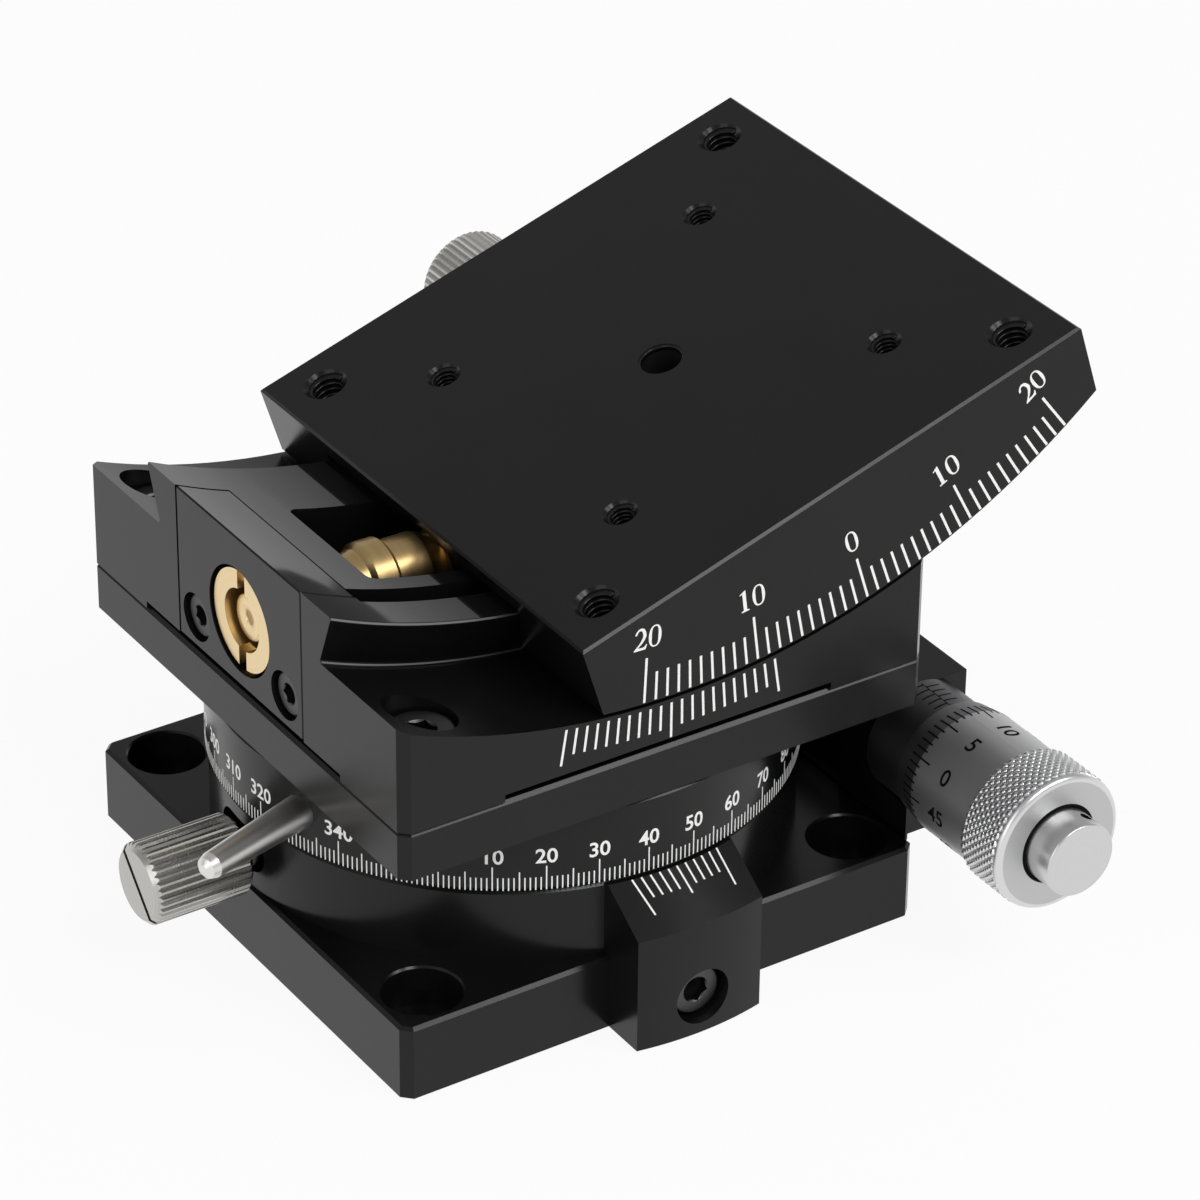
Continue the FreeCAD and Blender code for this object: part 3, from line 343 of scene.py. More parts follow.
@contextmanager
def editing(data):
    """A mesh open for editing, written back at the end."""
    mesh = bmesh.new()
    mesh.from_mesh(data)
    yield mesh
    mesh.to_mesh(data)
    mesh.free()


def placed(pattern, matrix, name):
    """A copy of a pattern object with its own mesh, at a place."""
    mesh = pattern.data.copy()
    mesh.transform(matrix)
    return linked(name, mesh)


def merged(pieces, name):
    """Pieces joined into one object with a name."""
    select(*pieces)
    if len(pieces) > 1:
        bpy.ops.object.join()
    whole = pieces[0]
    whole.name = whole.data.name = name
    return whole


def joined(pieces, name, finish, body):
    """Pieces of one finish joined into one object that rides on a body."""
    whole = merged(pieces, name)
    give(whole, finish)
    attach(whole, body)


def discard(patterns):
    """Takes patterns out of the scene."""
    for pattern in patterns:
        bpy.data.objects.remove(pattern)


def apply_place():
    """Puts the place and size of the selected object into its mesh."""
    bpy.ops.object.transform_apply(location=True, rotation=True, scale=True)


def box(size, middle):
    """Box by its sizes and its middle, in millimetres."""
    bpy.ops.mesh.primitive_cube_add(size=1, location=[c * MM for c in middle])
    made = bpy.context.object
    made.scale = [c * MM for c in size]
    apply_place()
    return made


def cylinder(vertices, radius, depth, middle=(0, 0, 0), **more):
    """Upright cylinder in millimetres, to be scaled down to metres later."""
    bpy.ops.mesh.primitive_cylinder_add(vertices=vertices, radius=radius, depth=depth,
                                        location=middle, **more)
    apply_place()
    return bpy.context.object


def cut_out(obj, cutter):
    """Cuts the shape of the cutter out of an object and takes the cutter away."""
    cut = obj.modifiers.new("cut", "BOOLEAN")
    cut.operation = "DIFFERENCE"
    cut.solver = "EXACT"
    cut.object = cutter
    select(obj)
    bpy.ops.object.modifier_apply(modifier=cut.name)
    discard([cutter])


def swept(name, outline, steps, **settings):
    """Closed outline of points, in millimetres, swept round the Z axis."""
    count = len(outline)
    mesh = bpy.data.meshes.new(name)
    mesh.from_pydata(outline, [(i, (i + 1) % count) for i in range(count)], [])
    obj = linked(name, mesh)
    screw = obj.modifiers.new("sweep", "SCREW")
    screw.axis = "Z"
    screw.steps = screw.render_steps = steps
    for setting, value in settings.items():
        setattr(screw, setting, value)
    select(obj)
    bpy.ops.object.modifier_apply(modifier=screw.name)
    return obj


def lathed(name, outline, steps=64):
    """Closed ring with an outline of radius and height, in millimetres, about the Z axis."""
    ring = swept(name, [(radius, 0, height) for radius, height in outline], steps,
                 use_merge_vertices=True)
    with editing(ring.data) as mesh:
        bmesh.ops.remove_doubles(mesh, verts=mesh.verts[:], dist=WELD)
        bmesh.ops.recalc_face_normals(mesh, faces=mesh.faces[:])
    return ring


def engraved_bar(width, length):
    """One filled line that stands on its end at the origin: along +Y, its face towards +Z, with
    eased edges."""
    edge, crown = 0.02, 0.004
    bar = box((width, length, 2 * LINE_LIFT), (0, length / 2, 0))
    bpy.ops.object.mode_set(mode="EDIT")
    mesh = bmesh.from_edit_mesh(bar.data)
    for face in mesh.faces:
        face.select_set(face.normal.z > 0.5)
    bmesh.update_edit_mesh(bar.data)
    bpy.ops.mesh.inset(thickness=edge * MM, depth=crown * MM)
    bpy.ops.object.mode_set(mode="OBJECT")
    return bar


def engraved_lines(width, marks):
    """Lines of one width for pairs of a length and a place."""
    patterns, lines = {}, []
    for length, matrix in marks:
        if length not in patterns:
            patterns[length] = engraved_bar(width, length)
        lines.append(placed(patterns[length], matrix, "line"))
    discard(patterns.values())
    return lines


def text_mesh(text, height, bold, narrow=1.0):
    """Figures as a thin mesh, centred across, standing on the X axis."""
    share_of_size = 0.7
    bpy.ops.object.text_add(location=(0, 0, 0))
    letters = bpy.context.object
    letters.data.body = text
    letters.data.align_x = "CENTER"
    letters.data.size = height * MM / share_of_size
    letters.data.offset = bold * MM
    letters.data.extrude = LINE_LIFT * MM
    letters.data.resolution_u = 4
    bpy.ops.object.convert(target="MESH")
    letters = bpy.context.object
    letters.data.transform(Matrix.Diagonal((narrow, 1, 1, 1)))
    return letters


# Outlines of the stage's figures, one height tall: points as across, up and whether the line
# runs smoothly through them
OUTLINES = {
    "0": [[(0, 1, 1), (0.3, 0.5, 1), (0, 0, 1), (-0.3, 0.5, 1)],
          [(0, 0.94, 1), (-0.155, 0.5, 1), (0, 0.06, 1), (0.155, 0.5, 1)]],
    "1": [[(-0.19, 0, 0), (0.19, 0, 0), (0.19, 0.045, 0), (0.08, 0.08, 0), (0.08, 1, 0),
           (0.04, 1, 0), (-0.21, 0.87, 0), (-0.19, 0.83, 0), (-0.08, 0.865, 0),
           (-0.08, 0.08, 0), (-0.19, 0.045, 0)]],
    "2": [[(-0.3, 0, 0), (0.25, 0, 0), (0.32, 0.22, 0), (0.28, 0.22, 0), (0.17, 0.12, 1),
           (-0.12, 0.12, 0), (0.16, 0.4, 1), (0.26, 0.7, 1), (0.01, 1, 1), (-0.26, 0.73, 1),
           (-0.22, 0.71, 1), (-0.04, 0.9, 1), (0.11, 0.68, 1), (0.02, 0.4, 1),
           (-0.3, 0.04, 0)]],
}


def cut_figure(text, height):
    """Figures with thick and thin strokes, drawn from outlines, centred across and standing on
    the X axis."""
    advance = 0.68
    curve = bpy.data.curves.new("figure", "CURVE")
    curve.dimensions = "2D"
    curve.fill_mode = "BOTH"
    curve.extrude = LINE_LIFT * MM
    curve.resolution_u = 6
    for place, sign in enumerate(text):
        shift = advance * (place - (len(text) - 1) / 2)
        for outline in OUTLINES[sign]:
            spline = curve.splines.new("BEZIER")
            spline.bezier_points.add(len(outline) - 1)
            spline.use_cyclic_u = True
            for point, (across, up, smooth) in zip(spline.bezier_points, outline):
                point.co = ((across + shift) * height * MM, up * height * MM, 0)
                point.handle_left_type = point.handle_right_type = "AUTO" if smooth else "VECTOR"
    select(linked("figure", curve))
    bpy.ops.object.convert(target="MESH")
    return bpy.context.object


def sliced(obj, axis, step_mm):
    """Cuts a flat mesh across an axis at even steps, so that it can follow a curve."""
    places = [vertex.co[axis] for vertex in obj.data.vertices]
    normal = Vector((0, 0, 0))
    normal[axis] = 1
    place = math.ceil(min(places) / (step_mm * MM)) * step_mm * MM
    with editing(obj.data) as mesh:
        while place < max(places):
            bmesh.ops.bisect_plane(mesh, geom=mesh.verts[:] + mesh.edges[:] + mesh.faces[:],
                                   plane_co=normal * place, plane_no=normal, dist=1e-7)
            place += step_mm * MM
    return obj


def wrap(mesh, radius):
    """Bends a flat mesh (X across, Y up, Z out) round an upright cylinder that faces -Y."""
    for vertex in mesh.vertices:
        x, y, z = vertex.co
        angle = x / (radius * MM)
        reach = radius * MM + z
        vertex.co = (reach * math.sin(angle), -reach * math.cos(angle), y)


def around_ring(degrees):
    """Turns what stands at the front (-Y) of the table to a world angle."""
    return Matrix.Rotation(math.radians(degrees + 90), 4, "Z")


def ring_scale():
    """A line at every degree of the scale ring and a figure at every tenth."""
    width, short, middle, long = 0.13, 1.45, 2.1, 2.7
    line_foot, figure_foot, figure_height = 0.12, 3.2, 1.6
    stand = (Matrix.Translation((0, -RING_RADIUS * MM, (RING_BOTTOM + line_foot) * MM))
             @ Matrix.Rotation(QUARTER, 4, "X"))
    pieces = engraved_lines(width, [
        (long if reading % 10 == 0 else middle if reading % 5 == 0 else short,
         around_ring(RING_ZERO + reading) @ stand) for reading in range(360)])
    for reading in range(0, 360, 10):
        figure = text_mesh(str(reading), figure_height, bold=0.035, narrow=0.98)
        wrap(figure.data, RING_RADIUS)
        figure.data.transform(around_ring(RING_ZERO + reading) @ Matrix.Translation(
            (0, 0, (RING_BOTTOM + figure_foot) * MM)))
        pieces.append(figure)
    joined(pieces, "ring_scale", WHITE, "table")


def on_side(degrees, radius):
    """Place on the -Y side, at a radius under the turning centre, for a line that points to it."""
    turn = Matrix.Rotation(math.radians(-degrees), 4, "Y")
    down = Matrix.Translation((0, SIDE_Y * MM, -radius * MM)) @ Matrix.Rotation(QUARTER, 4, "X")
    return Matrix.Translation((0, 0, CENTRE_Z * MM)) @ turn @ down


def stage_scale():
    """Twenty degrees either way along the stage's arc, with a figure at every tenth."""
    width, short, long = 0.27, 3.1, 4.9
    above_arc, figure_above_arc, figure_height = 0.15, 6.1, 2.4
    pieces = engraved_lines(width, [
        (short if reading % 10 else long, on_side(TILT_REST + reading, STAGE_ARC - above_arc))
        for reading in range(-20, 21)])
    for reading in range(-20, 21, 10):
        figure = cut_figure(str(abs(reading)), figure_height)
        figure.data.transform(on_side(TILT_REST + reading, STAGE_ARC - figure_above_arc))
        pieces.append(figure)
    joined(pieces, "stage_scale", WHITE, "stage")


def body_vernier():
    """Vernier under the stage's arc: twenty parts that take up eighteen degrees."""
    width, short, long, gap, part_degrees = 0.26, 2.8, 3.9, 0.4, 0.9
    marks = []
    for step in range(-10, 11):
        length = short if step % 10 else long
        marks.append((length, on_side(step * part_degrees, SHELF_ARC + gap + length)))
    joined(engraved_lines(width, marks), "body_vernier", WHITE, "table")


def base_vernier():
    """Parallel lines on the sloping top of the vernier block."""
    width, short, middle_line, long = 0.2, 2.3, 3.1, 4.15
    parts, first, spacing, edge = 10, RING_ZERO + 36.2, 1.9, 0.02
    (outer, low), (inner, high) = VERNIER_OUTER, VERNIER_INNER
    fall = (high - low) / (outer - inner)
    lean = math.radians(3.5)
    heading = Vector((math.sin(lean), -math.cos(lean), 0))
    marks = []
    for step in range(parts + 1):
        length = long if step in (0, parts) else middle_line if step == parts // 2 else short
        angle = math.radians(first + spacing * step)
        outward = Vector((math.cos(angle), math.sin(angle), 0))
        start = outward * (inner + edge) + Vector((0, 0, high - edge * fall))
        middle = start + heading * length / 2
        outward = Vector((middle.x, middle.y, 0)).normalized()
        normal = (outward * fall + Vector((0, 0, 1))).normalized()
        along = (heading - normal * heading.dot(normal)).normalized()
        turn = Matrix((along.cross(normal), along, normal)).transposed().to_4x4()
        marks.append((length, Matrix.Translation(start * MM) @ turn))
    joined(engraved_lines(width, marks), "base_vernier", WHITE, "base")


def thimble_surface(y):
    """Radius of the thimble at a place along its axis."""
    share = min(1.0, max(0.0, (THIMBLE_EDGE - y) / THIMBLE_TAPER))
    return THIMBLE_EDGE_RADIUS + share * (THIMBLE_RADIUS - THIMBLE_EDGE_RADIUS)


def onto_micrometer(mesh, degrees, start_y, surface):
    """Lays a flat mesh on the micrometer: X runs towards -Y, Y round the axis towards +X, Z
    outwards."""
    for vertex in mesh.vertices:
        x, y, z = (c / MM for c in vertex.co)
        along = start_y - x
        radius = surface(along)
        angle = math.radians(degrees) + y / radius
        reach = radius + z
        vertex.co = Vector((MICROMETER_X + reach * math.sin(angle), along,
                            MICROMETER_Z + reach * math.cos(angle))) * MM


def micrometer_line(length, width=0.2):
    """A flat line along +X that can be laid on the micrometer."""
    bar = engraved_bar(width, length)
    bar.data.transform(Matrix.Rotation(-QUARTER, 4, "Z"))
    return sliced(bar, 0, 0.5)


def thimble_marks():
    """Fifty divisions round the thimble, with a figure at every fifth."""
    divisions, zero_at, short, long, line_y = 50, -57.5, 1.9, 3.0, -30.45
    figure_height, figure_half, figure_y = 1.75, 0.95, -36.1
    angles = [zero_at + 360 / divisions * division for division in range(divisions)]
    pieces = []
    bars = {length: micrometer_line(length) for length in (short, long)}
    for division, angle in enumerate(angles):
        mark = placed(bars[short if division % 5 else long], Matrix.Identity(4), "mark")
        onto_micrometer(mark.data, angle, line_y, thimble_surface)
        pieces.append(mark)
    discard(bars.values())
    for division in range(0, divisions, 5):
        figure = sliced(text_mesh(str(division), figure_height, bold=0.03), 1, 0.2)
        figure.data.transform(Matrix.Translation((0, -figure_half * MM, 0)))
        onto_micrometer(figure.data, angles[division], figure_y, thimble_surface)
        pieces.append(figure)
    joined(pieces, "thimble_marks", BLACK, "thimble")


def barrel_marks():
    """Datum line of the barrel with a line at every millimetre, and half millimetres across it."""
    datum_at, datum_length, datum_width, datum_y = 0.8, 18.4, 0.1, BARREL_FACE - 0.4
    count, line_length, line_width, zero_y = 18, 1.6, 0.16, BARREL_FACE - 0.7
    pieces = [micrometer_line(datum_length, datum_width)]
    onto_micrometer(pieces[0].data, datum_at, datum_y, lambda y: BARREL_RADIUS)
    for below, first in ((True, 0.0), (False, 0.5)):
        bar = sliced(engraved_bar(line_width, line_length), 1, 0.2)
        if below:
            bar.data.transform(Matrix.Translation((0, -line_length * MM, 0)))
        for step in range(count):
            mark = placed(bar, Matrix.Identity(4), "mark")
            onto_micrometer(mark.data, datum_at, zero_y - first - step, lambda y: BARREL_RADIUS)
            pieces.append(mark)
        discard([bar])
    joined(pieces, "barrel_marks", BLACK, "base")


def on_micrometer(y):
    """Place on the micrometer's axis, Z outwards, for a mesh in millimetres."""
    middle = Matrix.Translation(Vector((MICROMETER_X, y, MICROMETER_Z)) * MM)
    return middle @ Matrix.Rotation(QUARTER, 4, "X") @ TO_METRES


def at_radius(vertex, radius, lift=0.0):
    """Moves a vertex straight out or in to a radius about the Z axis, and up."""
    flat = Vector((vertex.co.x, vertex.co.y, 0)).normalized() * radius
    vertex.co = (flat.x, flat.y, vertex.co.z + lift)


def rim_edges(mesh):
    """Open edges of a mesh."""
    return [edge for edge in mesh.edges if edge.is_boundary]


def extruded(mesh, edges):
    """New vertices of a strip that is drawn out of edges."""
    grown = bmesh.ops.extrude_edge_only(mesh, edges=edges)["geom"]
    return [part for part in grown if isinstance(part, bmesh.types.BMVert)]


def diamond_knurl():
    """Knurled ring of the thimble: crossed grooves leave rows of small blunt diamonds."""
    round_count, rows, depth, clearance = 52, 6, 0.34, 0.005
    flank = {"thickness": 0.09, "depth": 0.2, "use_even_offset": True}
    shoulder = {"thickness": 0.07, "depth": 0.09, "use_even_offset": True}
    point, end_length, end_bevel, wall = 0.02, 0.15, 0.12, 0.14
    length = KNURL_START - KNURL_END - 2 * end_length
    radius = KNURL_RADIUS - depth
    tip = KNURL_RADIUS - clearance
    ring = cylinder(round_count, radius, length, end_fill_type="NOTHING")
    with editing(ring.data) as mesh:
        for step in range(1, rows):
            bmesh.ops.bisect_plane(mesh, geom=mesh.verts[:] + mesh.edges[:] + mesh.faces[:],
                                   plane_co=(0, 0, length * (step / rows - 0.5)),
                                   plane_no=(0, 0, 1))
        inner = [edge for edge in mesh.edges if not edge.is_boundary]
        bmesh.ops.poke(mesh, faces=mesh.faces[:])
        for vertex in mesh.verts:
            at_radius(vertex, radius)
        bmesh.ops.dissolve_edges(mesh, edges=inner, use_verts=False)
        diamonds = [face for face in mesh.faces if len(face.verts) == 4]
        # Every face starts in the painted shade of the grooves; the diamonds' sides and tips then
        # take the painted highlight
        for face in mesh.faces:
            face.material_index = 1
        bmesh.ops.inset_individual(mesh, faces=diamonds, **flank)
        sides = bmesh.ops.inset_individual(mesh, faces=diamonds, **shoulder)["faces"]
        tips = bmesh.ops.poke(mesh, faces=diamonds, offset=point)["faces"]
        for face in sides + tips:
            face.material_index = 0
            face.smooth = True
        rims = rim_edges(mesh)
        for side in (1, -1):
            loop = [edge for edge in rims if side * edge.verts[0].co.z > 0]
            for vertex in extruded(mesh, loop):
                at_radius(vertex, radius - end_bevel, side * end_length)
        top = [edge for edge in rim_edges(mesh) if edge.verts[0].co.z > 0]
        for vertex in extruded(mesh, top):
            at_radius(vertex, radius - wall)
        bmesh.ops.bridge_loops(mesh, edges=rim_edges(mesh))
        bmesh.ops.recalc_face_normals(mesh, faces=mesh.faces[:])
        for vertex in mesh.verts:
            if math.hypot(vertex.co.x, vertex.co.y) > tip:
                at_radius(vertex, tip)
    ring.data.transform(on_micrometer((KNURL_START + KNURL_END) / 2))
    merged([ring], "thimble_diamond_knurl")
    give(ring, RIM, GROOVE)
    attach(ring, "thimble")
    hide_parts("thimble_knurl")


def thimble_rings():
    """Rounded rim at the end of the thimble, bright with a painted highlight, and painted shade in
    the gap round its end knob.
    """
    crown, bulge, shoulder, rise, inside = 6.75, 0.62, -0.6, 0.61, 7.15
    curve = []
    for turn in range(0, 91, 15):
        angle = math.radians(turn)
        curve.append((crown + bulge * math.sin(angle), shoulder + rise * math.cos(angle)))
    rim = lathed("rim", curve + [(inside, shoulder), (inside, -0.46), (6.72, -0.02)], 96)
    rim.data.transform(on_micrometer(THIMBLE_END))
    select(rim)
    bpy.ops.object.shade_smooth_by_angle(angle=SMOOTH_ANGLE)
    joined([rim], "thimble_end_rim", RIM, "thimble")
    inner, outer, low, high = END_KNOB_RADIUS - 0.03, 4.36, -0.36, LINE_LIFT
    # Painted shade: a black ring down in the gap round the end knob
    gap = lathed("gap", [(inner, low), (outer, low), (outer, high), (inner, high)], 96)
    gap.data.transform(on_micrometer(THIMBLE_END))
    joined([gap], "end_knob_gap_painted_shade", SHADOW, "thimble")


def end_knob():
    """End knob of the thimble, its set screw's hole turned a little to the right of the top, with
    painted shade inside the hole.
    """
    radius, foot, height, axis = END_KNOB_RADIUS, -0.4, 3.6, 0.02
    hole_radius, hole_length, hole_at, hole_height = 0.62, 3.0, -27, 1.8
    dark_from, dark_to, dark_half = 2.0, radius - 0.07, 0.8
    outline = [(axis, foot), (radius, foot), (radius, height - 0.2), (radius - 0.04, height - 0.09),
               (radius - 0.11, height - 0.02), (radius - 0.21, height), (axis, height)]
    knob = lathed("knob", outline, 96)
    drill = cylinder(32, hole_radius, hole_length)
    drill.data.transform(Matrix.Rotation(math.radians(hole_at), 4, "Z")
                         @ Matrix.Translation((0, radius + 0.15, hole_height))
                         @ Matrix.Rotation(QUARTER, 4, "X"))
    cut_out(knob, drill)
    give(knob, END_KNOB, SHADOW)
    # Painted shade on the faces inside the set screw's hole
    for face in knob.data.polygons:
        off_axis = math.hypot(face.center.x, face.center.y)
        in_hole = abs(face.center.z - hole_height) < dark_half and dark_from < off_axis < dark_to
        face.material_index = 1 if in_hole else 0
    knob.data.transform(on_micrometer(THIMBLE_END))
    bpy.ops.object.shade_smooth_by_angle(angle=SMOOTH_ANGLE)
    merged([knob], "turned_end_knob")
    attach(knob, "thimble")
    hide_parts("thimble_end_knob")


def bright_edges():
    """Painted highlights: thin grey lines along the bevels at the head and foot of the dovetail,
    where the light glints on their edges."""
    head, foot = Vector((15.45, 75.425)), Vector((17.287, 70.25))
    slope, lift = Vector((0.51, 0.86)), Vector((0.86, -0.51))
    above, below, end, half = LINE_LIFT, -0.04, 29.9, 24
    pieces = []
    for middle, width in ((head, 0.16), (foot, 0.2)):
        corners = [middle + slope * along * width / 2 + lift * height
                   for along, height in ((-1, above), (1, above), (1, below), (-1, below))]
        reach = math.asin(end / middle.y)
        for side in (-1, 1):
            data = bpy.data.meshes.new("edge")
            with editing(data) as mesh:
                rows = []
                for step in range(2 * half + 1):
                    turn = reach * (step / half - 1)
                    rows.append([mesh.verts.new((radius * math.sin(turn) * MM, side * across * MM,
                                                 (CENTRE_Z - radius * math.cos(turn)) * MM))
                                 for across, radius in corners])
                for before, after in zip(rows, rows[1:]):
                    for corner in range(4):
                        following = (corner + 1) % 4
                        mesh.faces.new((before[corner], before[following],
                                        after[following], after[corner]))
                mesh.faces.new(rows[0])
                mesh.faces.new(rows[-1])
                bmesh.ops.recalc_face_normals(mesh, faces=mesh.faces[:])
            pieces.append(linked("edge", data))
    joined(pieces, "dovetail_painted_edge_highlights", EDGE_HIGHLIGHT, "table")


def foot_lip():
    """Lower edge of the micrometer's lug, which comes down over the bevel of the flange."""
    size, middle, edge = (0.34, 11.5, 0.73), (30.13, -22.38, 8.03), 0.06
    lip = box(size, middle)
    with editing(lip.data) as mesh:
        bmesh.ops.bevel(mesh, geom=mesh.edges[:], offset=edge * MM, segments=2, profile=0.5,
                        affect="EDGES")
    joined([lip], "bracket_foot_lip", ANODISED, "base")


def worm_end():
    """Turned face on the end of the worm's shaft, inside the ring nut, in the paler brass."""
    outline = [(0.02, 0.03), (2.1, 0.03), (2.3, -0.12), (2.44, -0.16), (2.44, -0.4), (0.02, -0.4)]
    face = lathed("face", outline)
    face.data.transform(Matrix.Translation(Vector((WORM_END, 0, WORM_Z)) * MM)
                        @ Matrix.Rotation(-QUARTER, 4, "Y") @ TO_METRES)
    joined([face], "worm_end_face", PALE_BRASS, "worm")


def on_stage(x, y, depth):
    """Place on the tilted stage for a mesh in millimetres: a point under the turning centre of
    the level stage, Z out of the top."""
    turn = Matrix.Rotation(math.radians(-TILT_REST), 4, "Y")
    middle = Matrix.Translation(Vector((x, y, -depth)) * MM)
    return Matrix.Translation((0, 0, CENTRE_Z * MM)) @ turn @ middle @ TO_METRES


def thread_ridge(radius, pitch, turns, cone):
    """Inner ridge of a tapped hole: a small wedge swept down a helix from the origin, in
    millimetres. Within the depth of the bevel its crest stands back as the bevel does."""
    root, crest, steps = radius + 0.02, radius - 0.3 * pitch, 28
    crest_top, crest_foot, root_foot = -0.42 * pitch, -0.5 * pitch, -0.92 * pitch
    wedge = [(root, 0, 0), (crest, 0, crest_top), (crest, 0, crest_foot), (root, 0, root_foot)]
    ridge = swept("thread", wedge, steps, screw_offset=-pitch, iterations=turns,
                  use_merge_vertices=False)
    with editing(ridge.data) as mesh:
        bmesh.ops.remove_doubles(mesh, verts=mesh.verts[:], dist=WELD)
        bmesh.ops.holes_fill(mesh, edges=rim_edges(mesh), sides=4)
        for vertex in mesh.verts:
            reach = math.hypot(vertex.co.x, vertex.co.y)
            wider = (reach + max(0.0, cone + vertex.co.z)) / reach
            vertex.co = (vertex.co.x * wider, vertex.co.y * wider, vertex.co.z)
        bmesh.ops.recalc_face_normals(mesh, faces=mesh.faces[:])
    return ridge


def stage_threads():
    """Threads that show inside the tapped holes of the stage, up into their bevels."""
    mouth, turns = 0.15, 10
    pieces = []
    for reach, radius, cone, pitch in ((CORNER_HOLE, CORNER_HOLE_RADIUS, 0.65, 0.7),
                                       (INNER_HOLE, INNER_HOLE_RADIUS, 0.55, 0.5)):
        ridge = thread_ridge(radius, pitch, turns, cone - mouth)
        for x in (-reach, reach):
            for y in (-reach, reach):
                pieces.append(placed(ridge, on_stage(x, y, STAGE_TOP + mouth), "thread"))
        discard([ridge])
    joined(pieces, "stage_threads", ANODISED, "stage")


def centre_hole():
    """Bevelled rim of the hole in the middle of the stage, and painted shade lining its wall and
    floor.
    """
    outer, rim_inner, wall_inner, axis = CENTRE_HOLE_RADIUS, 2.08, 2.1, 0.02
    rim_top, bevel_foot, rim_foot, floor_top, floor_foot = -0.005, -0.22, -0.6, -4.2, -4.45
    seat = on_stage(0, 0, STAGE_TOP)
    rim = lathed("rim", [(outer, rim_top), (rim_inner, bevel_foot), (rim_inner, rim_foot),
                         (outer, rim_foot)])
    rim.data.transform(seat)
    joined([rim], "stage_centre_rim", ANODISED, "stage")
    # Painted shade: a black lining on the wall and floor of the hole
    wall = lathed("wall", [(outer, rim_foot), (wall_inner, rim_foot), (wall_inner, floor_top),
                           (axis, floor_top), (axis, floor_foot), (outer, floor_foot)])
    wall.data.transform(seat)
    joined([wall], "stage_centre_bore_painted_shade", SHADOW, "stage")


def socket_screw(head, height, shank, length, key):
    """Cap screw with its head's top at the origin, pointing down, in millimetres: head with eased
    edges, hex socket with a bevelled mouth, and a plain shank. Head and shank are radii, and the
    key is the width of the socket."""
    edge, socket_middle, sunk = 0.1 * head, 0.1 * height, 0.1
    mouth, mouth_middle = 0.66 * key, -0.24 * key
    dark_radius, dark_top, dark_foot = 0.58 * key, -0.05 * key - 0.12, 0.01 - height
    screw = cylinder(64, head, height, (0, 0, -height / 2))
    with editing(screw.data) as mesh:
        rim = [line for line in mesh.edges if all(abs(vertex.co.z) < WELD for vertex in line.verts)]
        bmesh.ops.bevel(mesh, geom=rim, offset=edge, segments=3, profile=0.5, affect="EDGES")
    cut_out(screw, cylinder(6, key / math.sqrt(3), height, (0, 0, socket_middle)))
    bpy.ops.mesh.primitive_cone_add(vertices=48, radius1=0, radius2=mouth, depth=mouth,
                                    location=(0, 0, mouth_middle))
    cut_out(screw, bpy.context.object)
    rod = cylinder(32, shank, length + sunk, (0, 0, -height - length / 2 + sunk / 2))
    merged([screw, rod], "socket_screw")
    give(screw, OXIDE, SHADOW)
    # Painted shade on the faces deep inside the hex socket
    for face in screw.data.polygons:
        off_axis = math.hypot(face.center.x, face.center.y)
        in_socket = off_axis < dark_radius and dark_foot < face.center.z < dark_top
        face.material_index = 1 if in_socket else 0
    screw.data.transform(TO_METRES)
    return screw


def socket_screws(node, pattern, places, heading, body):
    """Screws in place of a node of the part, their heads looking along a direction."""
    turn = Vector((0, 0, 1)).rotation_difference(Vector(heading)).to_matrix().to_4x4()
    first_spin, next_spin = 11, 17
    pieces = []
    for number, place in enumerate(places):
        spin = Matrix.Rotation(math.radians(first_spin + next_spin * number), 4, "Z")
        stand = Matrix.Translation(Vector(place) * MM) @ turn @ spin
        pieces.append(placed(pattern, stand, "screw"))
    whole = merged(pieces, node + "_made")
    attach(whole, body)
    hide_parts(node)


def all_screws():
    """Socket screws of the covers, the tilt body, the vernier block and the bracket."""
    small = socket_screw(head=2.25, height=2.2, shank=1.25, length=6, key=2.0)
    middle = socket_screw(head=2.75, height=2.0, shank=1.5, length=6, key=2.5)
    large = socket_screw(head=3.5, height=4.0, shank=2.0, length=8, key=3.0)
    on_front = [(-29.5, y, 34.6) for y in (-8.5, 8.5)]
    on_rear = [(29.5, y, 34.6) for y in (-8.5, 8.5)]
    on_body = [(x, y, 38.0) for x in (-25, 25) for y in (-25, 25)]
    on_vernier_block = [(0.6, -34.2, 4.15)]
    on_bracket = [(35.6, y, 4.6) for y in (-10.8, 9.2)]
    socket_screws("front_cover_screws", small, on_front, (-1, 0, 0), "table")
    socket_screws("rear_cover_screws", small, on_rear, (1, 0, 0), "table")
    socket_screws("tilt_body_screws", large, on_body, (0, 0, 1), "table")
    socket_screws("vernier_screw", middle, on_vernier_block, (0, -1, 0), "base")
    socket_screws("bracket_screws", middle, on_bracket, (1, 0, 0), "base")
    discard([small, middle, large])


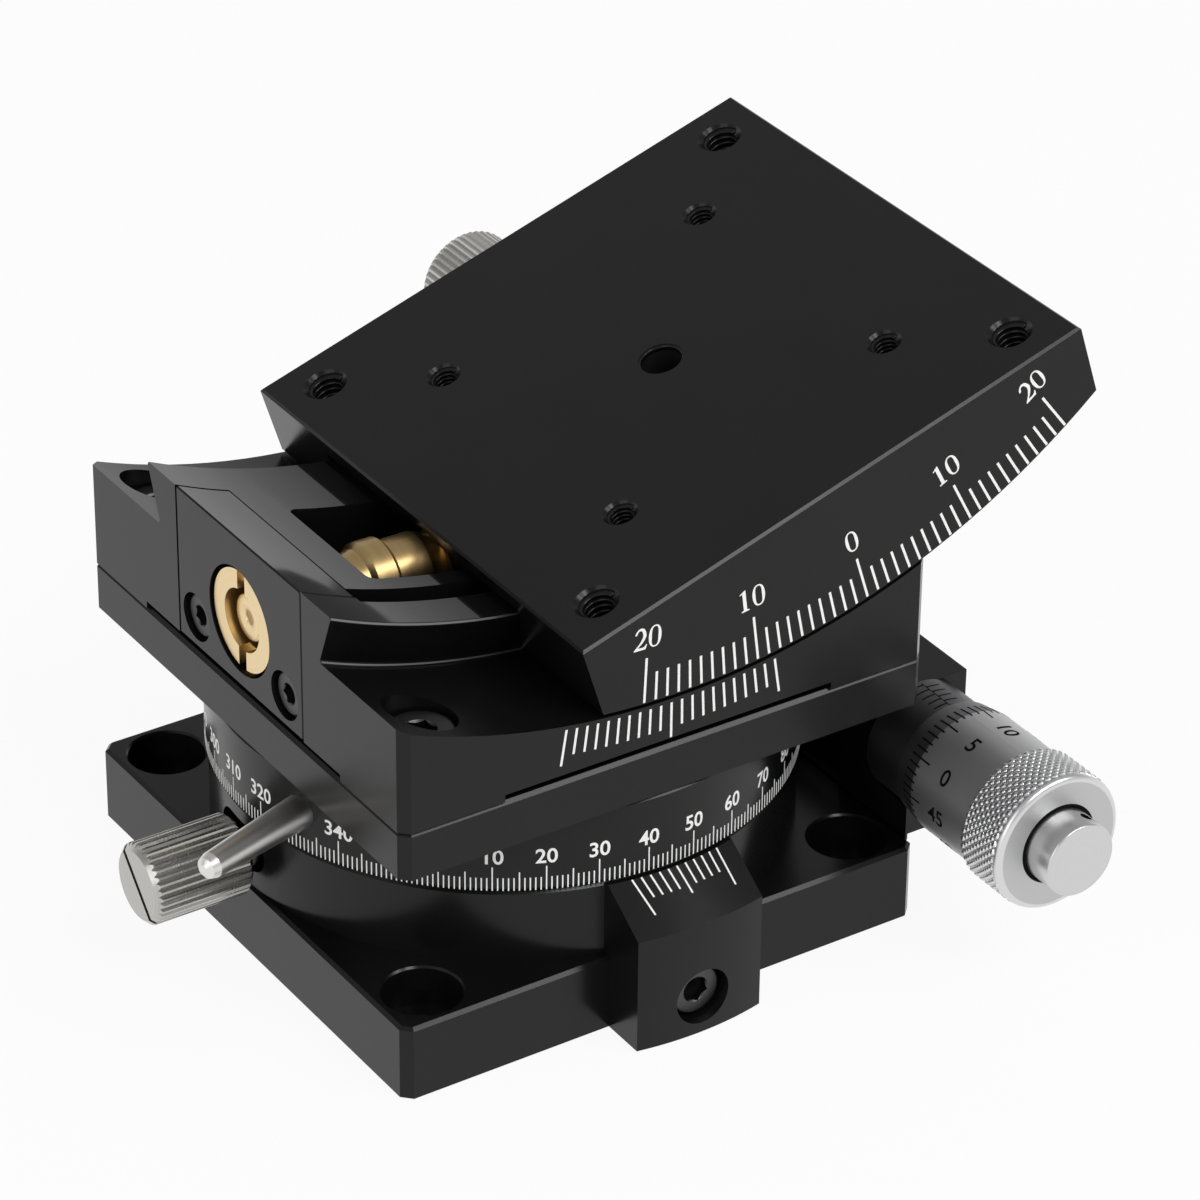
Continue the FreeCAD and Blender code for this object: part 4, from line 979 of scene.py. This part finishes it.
def studio():
    """White table, and a room that is white at the horizon and grey overhead."""
    floor_size, floor_z, glow_share = 6, -0.0002, 0.92
    horizon, high, overhead_strength = 0.1, 0.4, 0.45
    bpy.ops.mesh.primitive_plane_add(size=floor_size, location=(0, 0, floor_z))
    apply_place()
    floor = bpy.context.object
    floor.name = "studio_floor"
    made, tree = material("studio_white")
    paint = add(tree, "BsdfDiffuse", {"Color": linear("#f4f4f4")})
    glow = add(tree, "Emission", {"Color": linear("#ffffff"), "Strength": 1.0})
    path = add(tree, "LightPath")
    shown = path.outputs["Is Camera Ray"]
    for kind in ("Is Glossy Ray", "Is Transmission Ray"):
        shown = add(tree, "Math", {0: shown, 1: path.outputs[kind]}, operation="MAXIMUM").outputs[0]
    share = add(tree, "Math", {0: shown, 1: glow_share}, operation="MULTIPLY")
    seen = add(tree, "MixShader", {0: share.outputs[0], 1: paint.outputs[0], 2: glow.outputs[0]})
    add(tree, "OutputMaterial", {"Surface": seen.outputs[0]})
    give(floor, made)

    world = bpy.data.worlds.new("studio_world")
    bpy.context.scene.world = world
    world.use_nodes = True
    tree = world.node_tree
    tree.nodes.clear()
    place = add(tree, "TexCoord")
    split = add(tree, "SeparateXYZ", {0: place.outputs["Generated"]})
    level = add(tree, "MapRange", {0: split.outputs["Z"], 1: horizon, 2: high,
                                   3: 1.0, 4: overhead_strength})
    room = add(tree, "Background", {"Color": linear("#ffffff"), "Strength": level.outputs[0]})
    add(tree, "OutputWorld", {"Surface": room.outputs[0]})


def lamp(name, place, side, power):
    """Square softbox that faces the object."""
    middle = Vector((0, 0, 0.03))
    data = bpy.data.lights.new(name, "AREA")
    data.shape = "SQUARE"
    data.size = side
    data.energy = power
    obj = linked(name, data)
    obj.location = place
    obj.rotation_euler = (middle - Vector(place)).to_track_quat("-Z", "Y").to_euler()


def camera():
    """Camera of the photograph: long lens, from the front left and above."""
    azimuth, elevation, roll = (math.radians(angle) for angle in (-33.472, 31.192, 0.641))
    target, away = Vector((13.801, 3.417, 25.0)) * MM, 557.583
    focal_pixels, picture_pixels, sensor = 5490.281, 1200, 36.0
    back = Vector((math.sin(azimuth) * math.cos(elevation),
                   -math.cos(azimuth) * math.cos(elevation), math.sin(elevation)))
    across = Vector((0, 0, 1)).cross(back).normalized()
    up = back.cross(across)
    right = across * math.cos(roll) + up * math.sin(roll)
    top = up * math.cos(roll) - across * math.sin(roll)
    data = bpy.data.cameras.new("photo_camera")
    data.sensor_width = sensor
    data.lens = focal_pixels / picture_pixels * sensor
    data.clip_start = 0.05
    data.clip_end = 20
    obj = linked("photo_camera", data)
    turn = Matrix((right, top, back)).transposed().to_4x4()
    obj.matrix_world = Matrix.Translation(target + back * away * MM) @ turn
    bpy.context.scene.camera = obj


# The object's own pieces, then the studio
ring_scale()
stage_scale()
body_vernier()
base_vernier()
thimble_marks()
barrel_marks()
diamond_knurl()
thimble_rings()
end_knob()
foot_lip()
bright_edges()
worm_end()
stage_threads()
centre_hole()
all_screws()
studio()
lamp("front_softbox", (0.5, -0.55, 0.78), 0.3, 2.2)
lamp("top_softbox", (0.067, -0.667, 0.806), 0.3, 2.5)
lamp("left_softbox", (-0.95, -0.25, 0.5), 0.7, 2)
camera()
bpy.context.scene.view_settings.view_transform = "Standard"
